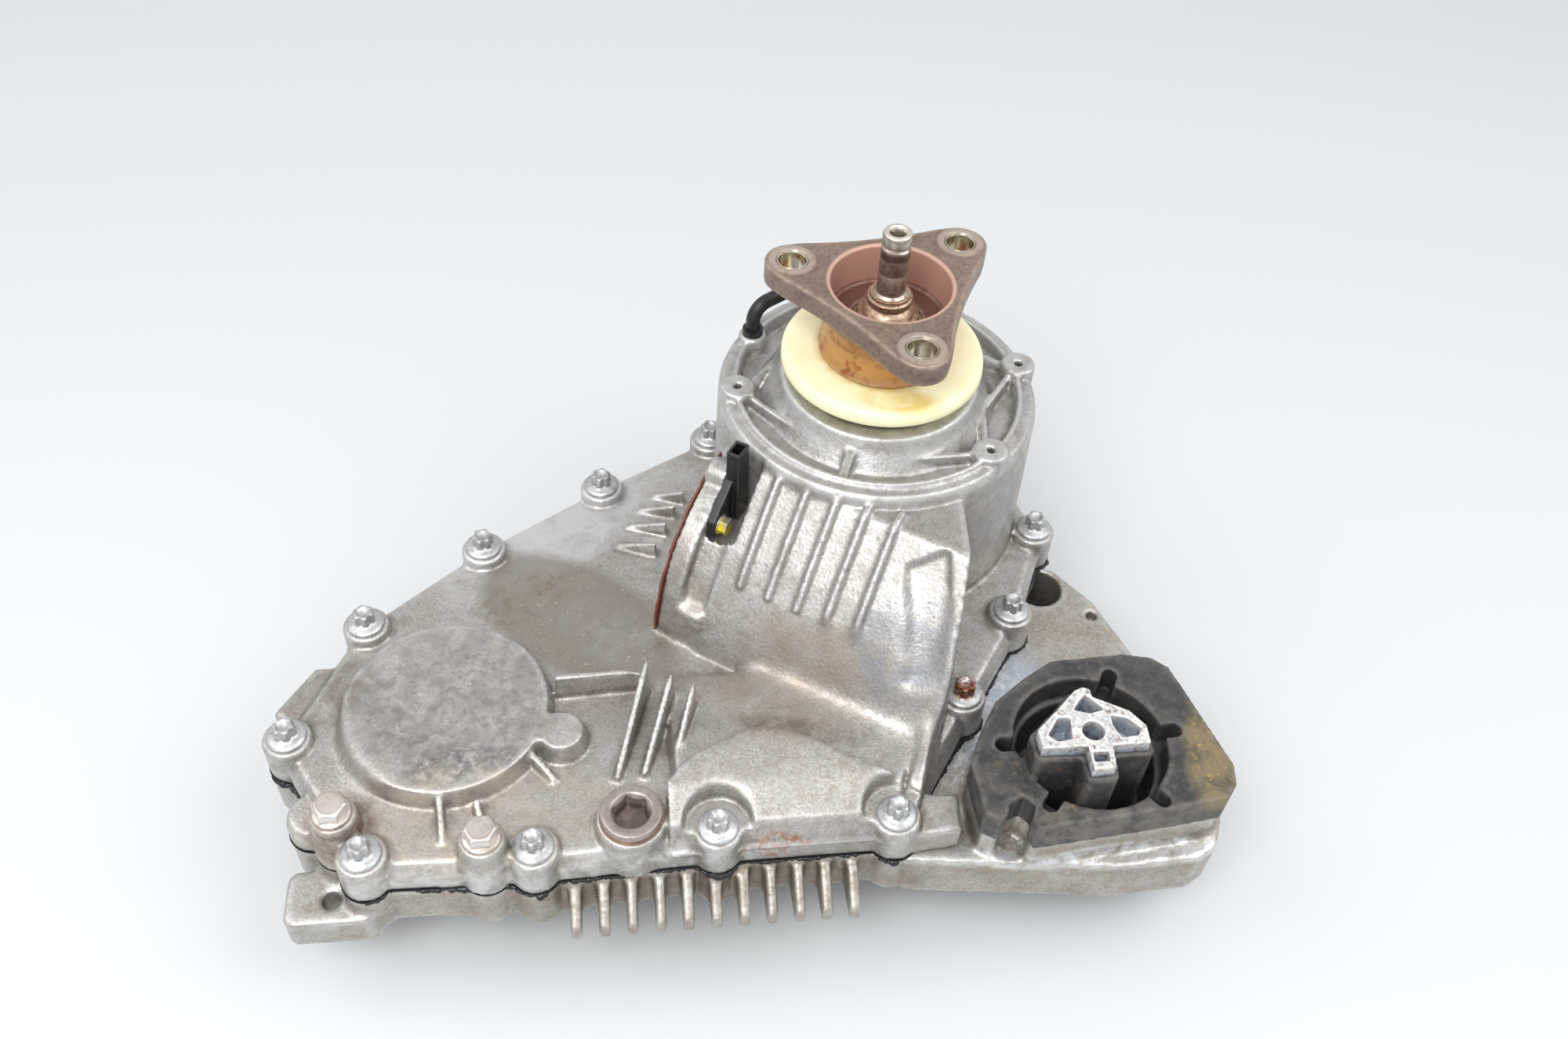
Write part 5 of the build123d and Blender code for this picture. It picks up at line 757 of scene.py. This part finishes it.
balls = bead_points[:, None] + bead_radii[:, None, None] * ball
balls = np.clip(balls, low + BEAD_OUT, high - BEAD_OUT).reshape(-1, 3)
ball_faces = (ball_blocks[0] + len(ball) * np.arange(len(bead_points))[:, None, None]).reshape(-1, 4)
skinned("squeezed_sealant", [(balls, [ball_faces])], 0.5, "case", sealant_black, 2, 4)

# %% [markdown]
# The actuator's face was sealed with a red compound, which stands out as a thin line on the edge of the
# plate: a tube round the plate's arc whose width wavers.

# %% red sealing line
ARC_ACROSS, ARC_HEIGHT, ARC_R, FACE_ALONG = 62.0, 76.0, 70.2, -51.7
TUBE_SIDES = 12
arc = np.linspace(math.radians(4.5), math.radians(84.0), 220)
width = 0.6 + 0.2 * np.sin(arc * 37) * np.sin(arc * 11 + 1)
around = np.arange(TUBE_SIDES) * math.tau / TUBE_SIDES
reach = ARC_R + width[:, None] * np.cos(around)
shift = FACE_ALONG + width[:, None] * np.sin(around) + 0.25 * np.sin(arc * 23)[:, None]
tube = (CAM_ACROSS * (ARC_ACROSS + reach * np.cos(arc)[:, None])[..., None] + CAM_ALONG * shift[..., None]
        + np.array([0, 0, 1.0]) * (ARC_HEIGHT + reach * np.sin(arc)[:, None])[..., None])
here, ahead = (np.arange(len(arc) - 1)[:, None] + step for step in (0, 1))
side = np.arange(TUBE_SIDES)
beside = (side + 1) % TUBE_SIDES
sides = np.stack([here * TUBE_SIDES + side, ahead * TUBE_SIDES + side, ahead * TUBE_SIDES + beside,
                  here * TUBE_SIDES + beside], -1)
ends = [[side], [side[::-1] + TUBE_SIDES * (len(arc) - 1)]]
new_piece("red_sealing_line", tube.reshape(-1, 3), [sides.reshape(-1, 4), *ends], "case", "seal_compound",
          seal_red, 60)

# %% [markdown]
# The case stands on a plain pale floor before a pale background. Three large soft lamps, before the case
# and to its left and right, with an even sky, show a colour about as it is written.

# %% stage
FLOOR_HALF_M = 6.0
OBJECT_MIDDLE = Vector((-0.05, -0.05, 0.1))
floor_corners = [(FLOOR_HALF_M * x, FLOOR_HALF_M * y, cad_box[0][2])
                 for x, y in ((-1, -1), (1, -1), (1, 1), (-1, 1))]
floor = new_piece("floor", np.array(floor_corners) / MM, [[[0, 1, 2, 3]]])
floor_paint = bpy.data.materials.new("pale_floor")
floor_paint.use_nodes = True
floor_shader = floor_paint.node_tree.nodes["Principled BSDF"]
floor_shader.inputs["Base Color"].default_value = hex_rgb("CDD0D2")
floor_shader.inputs["Roughness"].default_value = 0.6
paint(floor, floor_paint)


def soft_lamp(name, place, size, power):
    """Square lamp that looks at the object's middle, in metres and watts."""
    data = bpy.data.lights.new(name, "AREA")
    data.size, data.energy = size, power
    made = bpy.data.objects.new(name, data)
    bpy.context.scene.collection.objects.link(made)
    made.location = place
    made.rotation_euler = (OBJECT_MIDDLE - Vector(place)).to_track_quat("-Z", "Y").to_euler()


soft_lamp("key", (-0.5, -0.8, 1.25), 0.7, 12)
soft_lamp("left", (-1.2, 0.1, 1.5), 1.0, 5.5)
soft_lamp("right", (0.9, -0.3, 1.3), 1.1, 8)
world = bpy.data.worlds.new("world")
bpy.context.scene.world = world
world.use_nodes = True
sky = world.node_tree.nodes["Background"]
sky.inputs["Color"].default_value = (0.95, 0.955, 0.96, 1.0)
sky.inputs["Strength"].default_value = 0.88
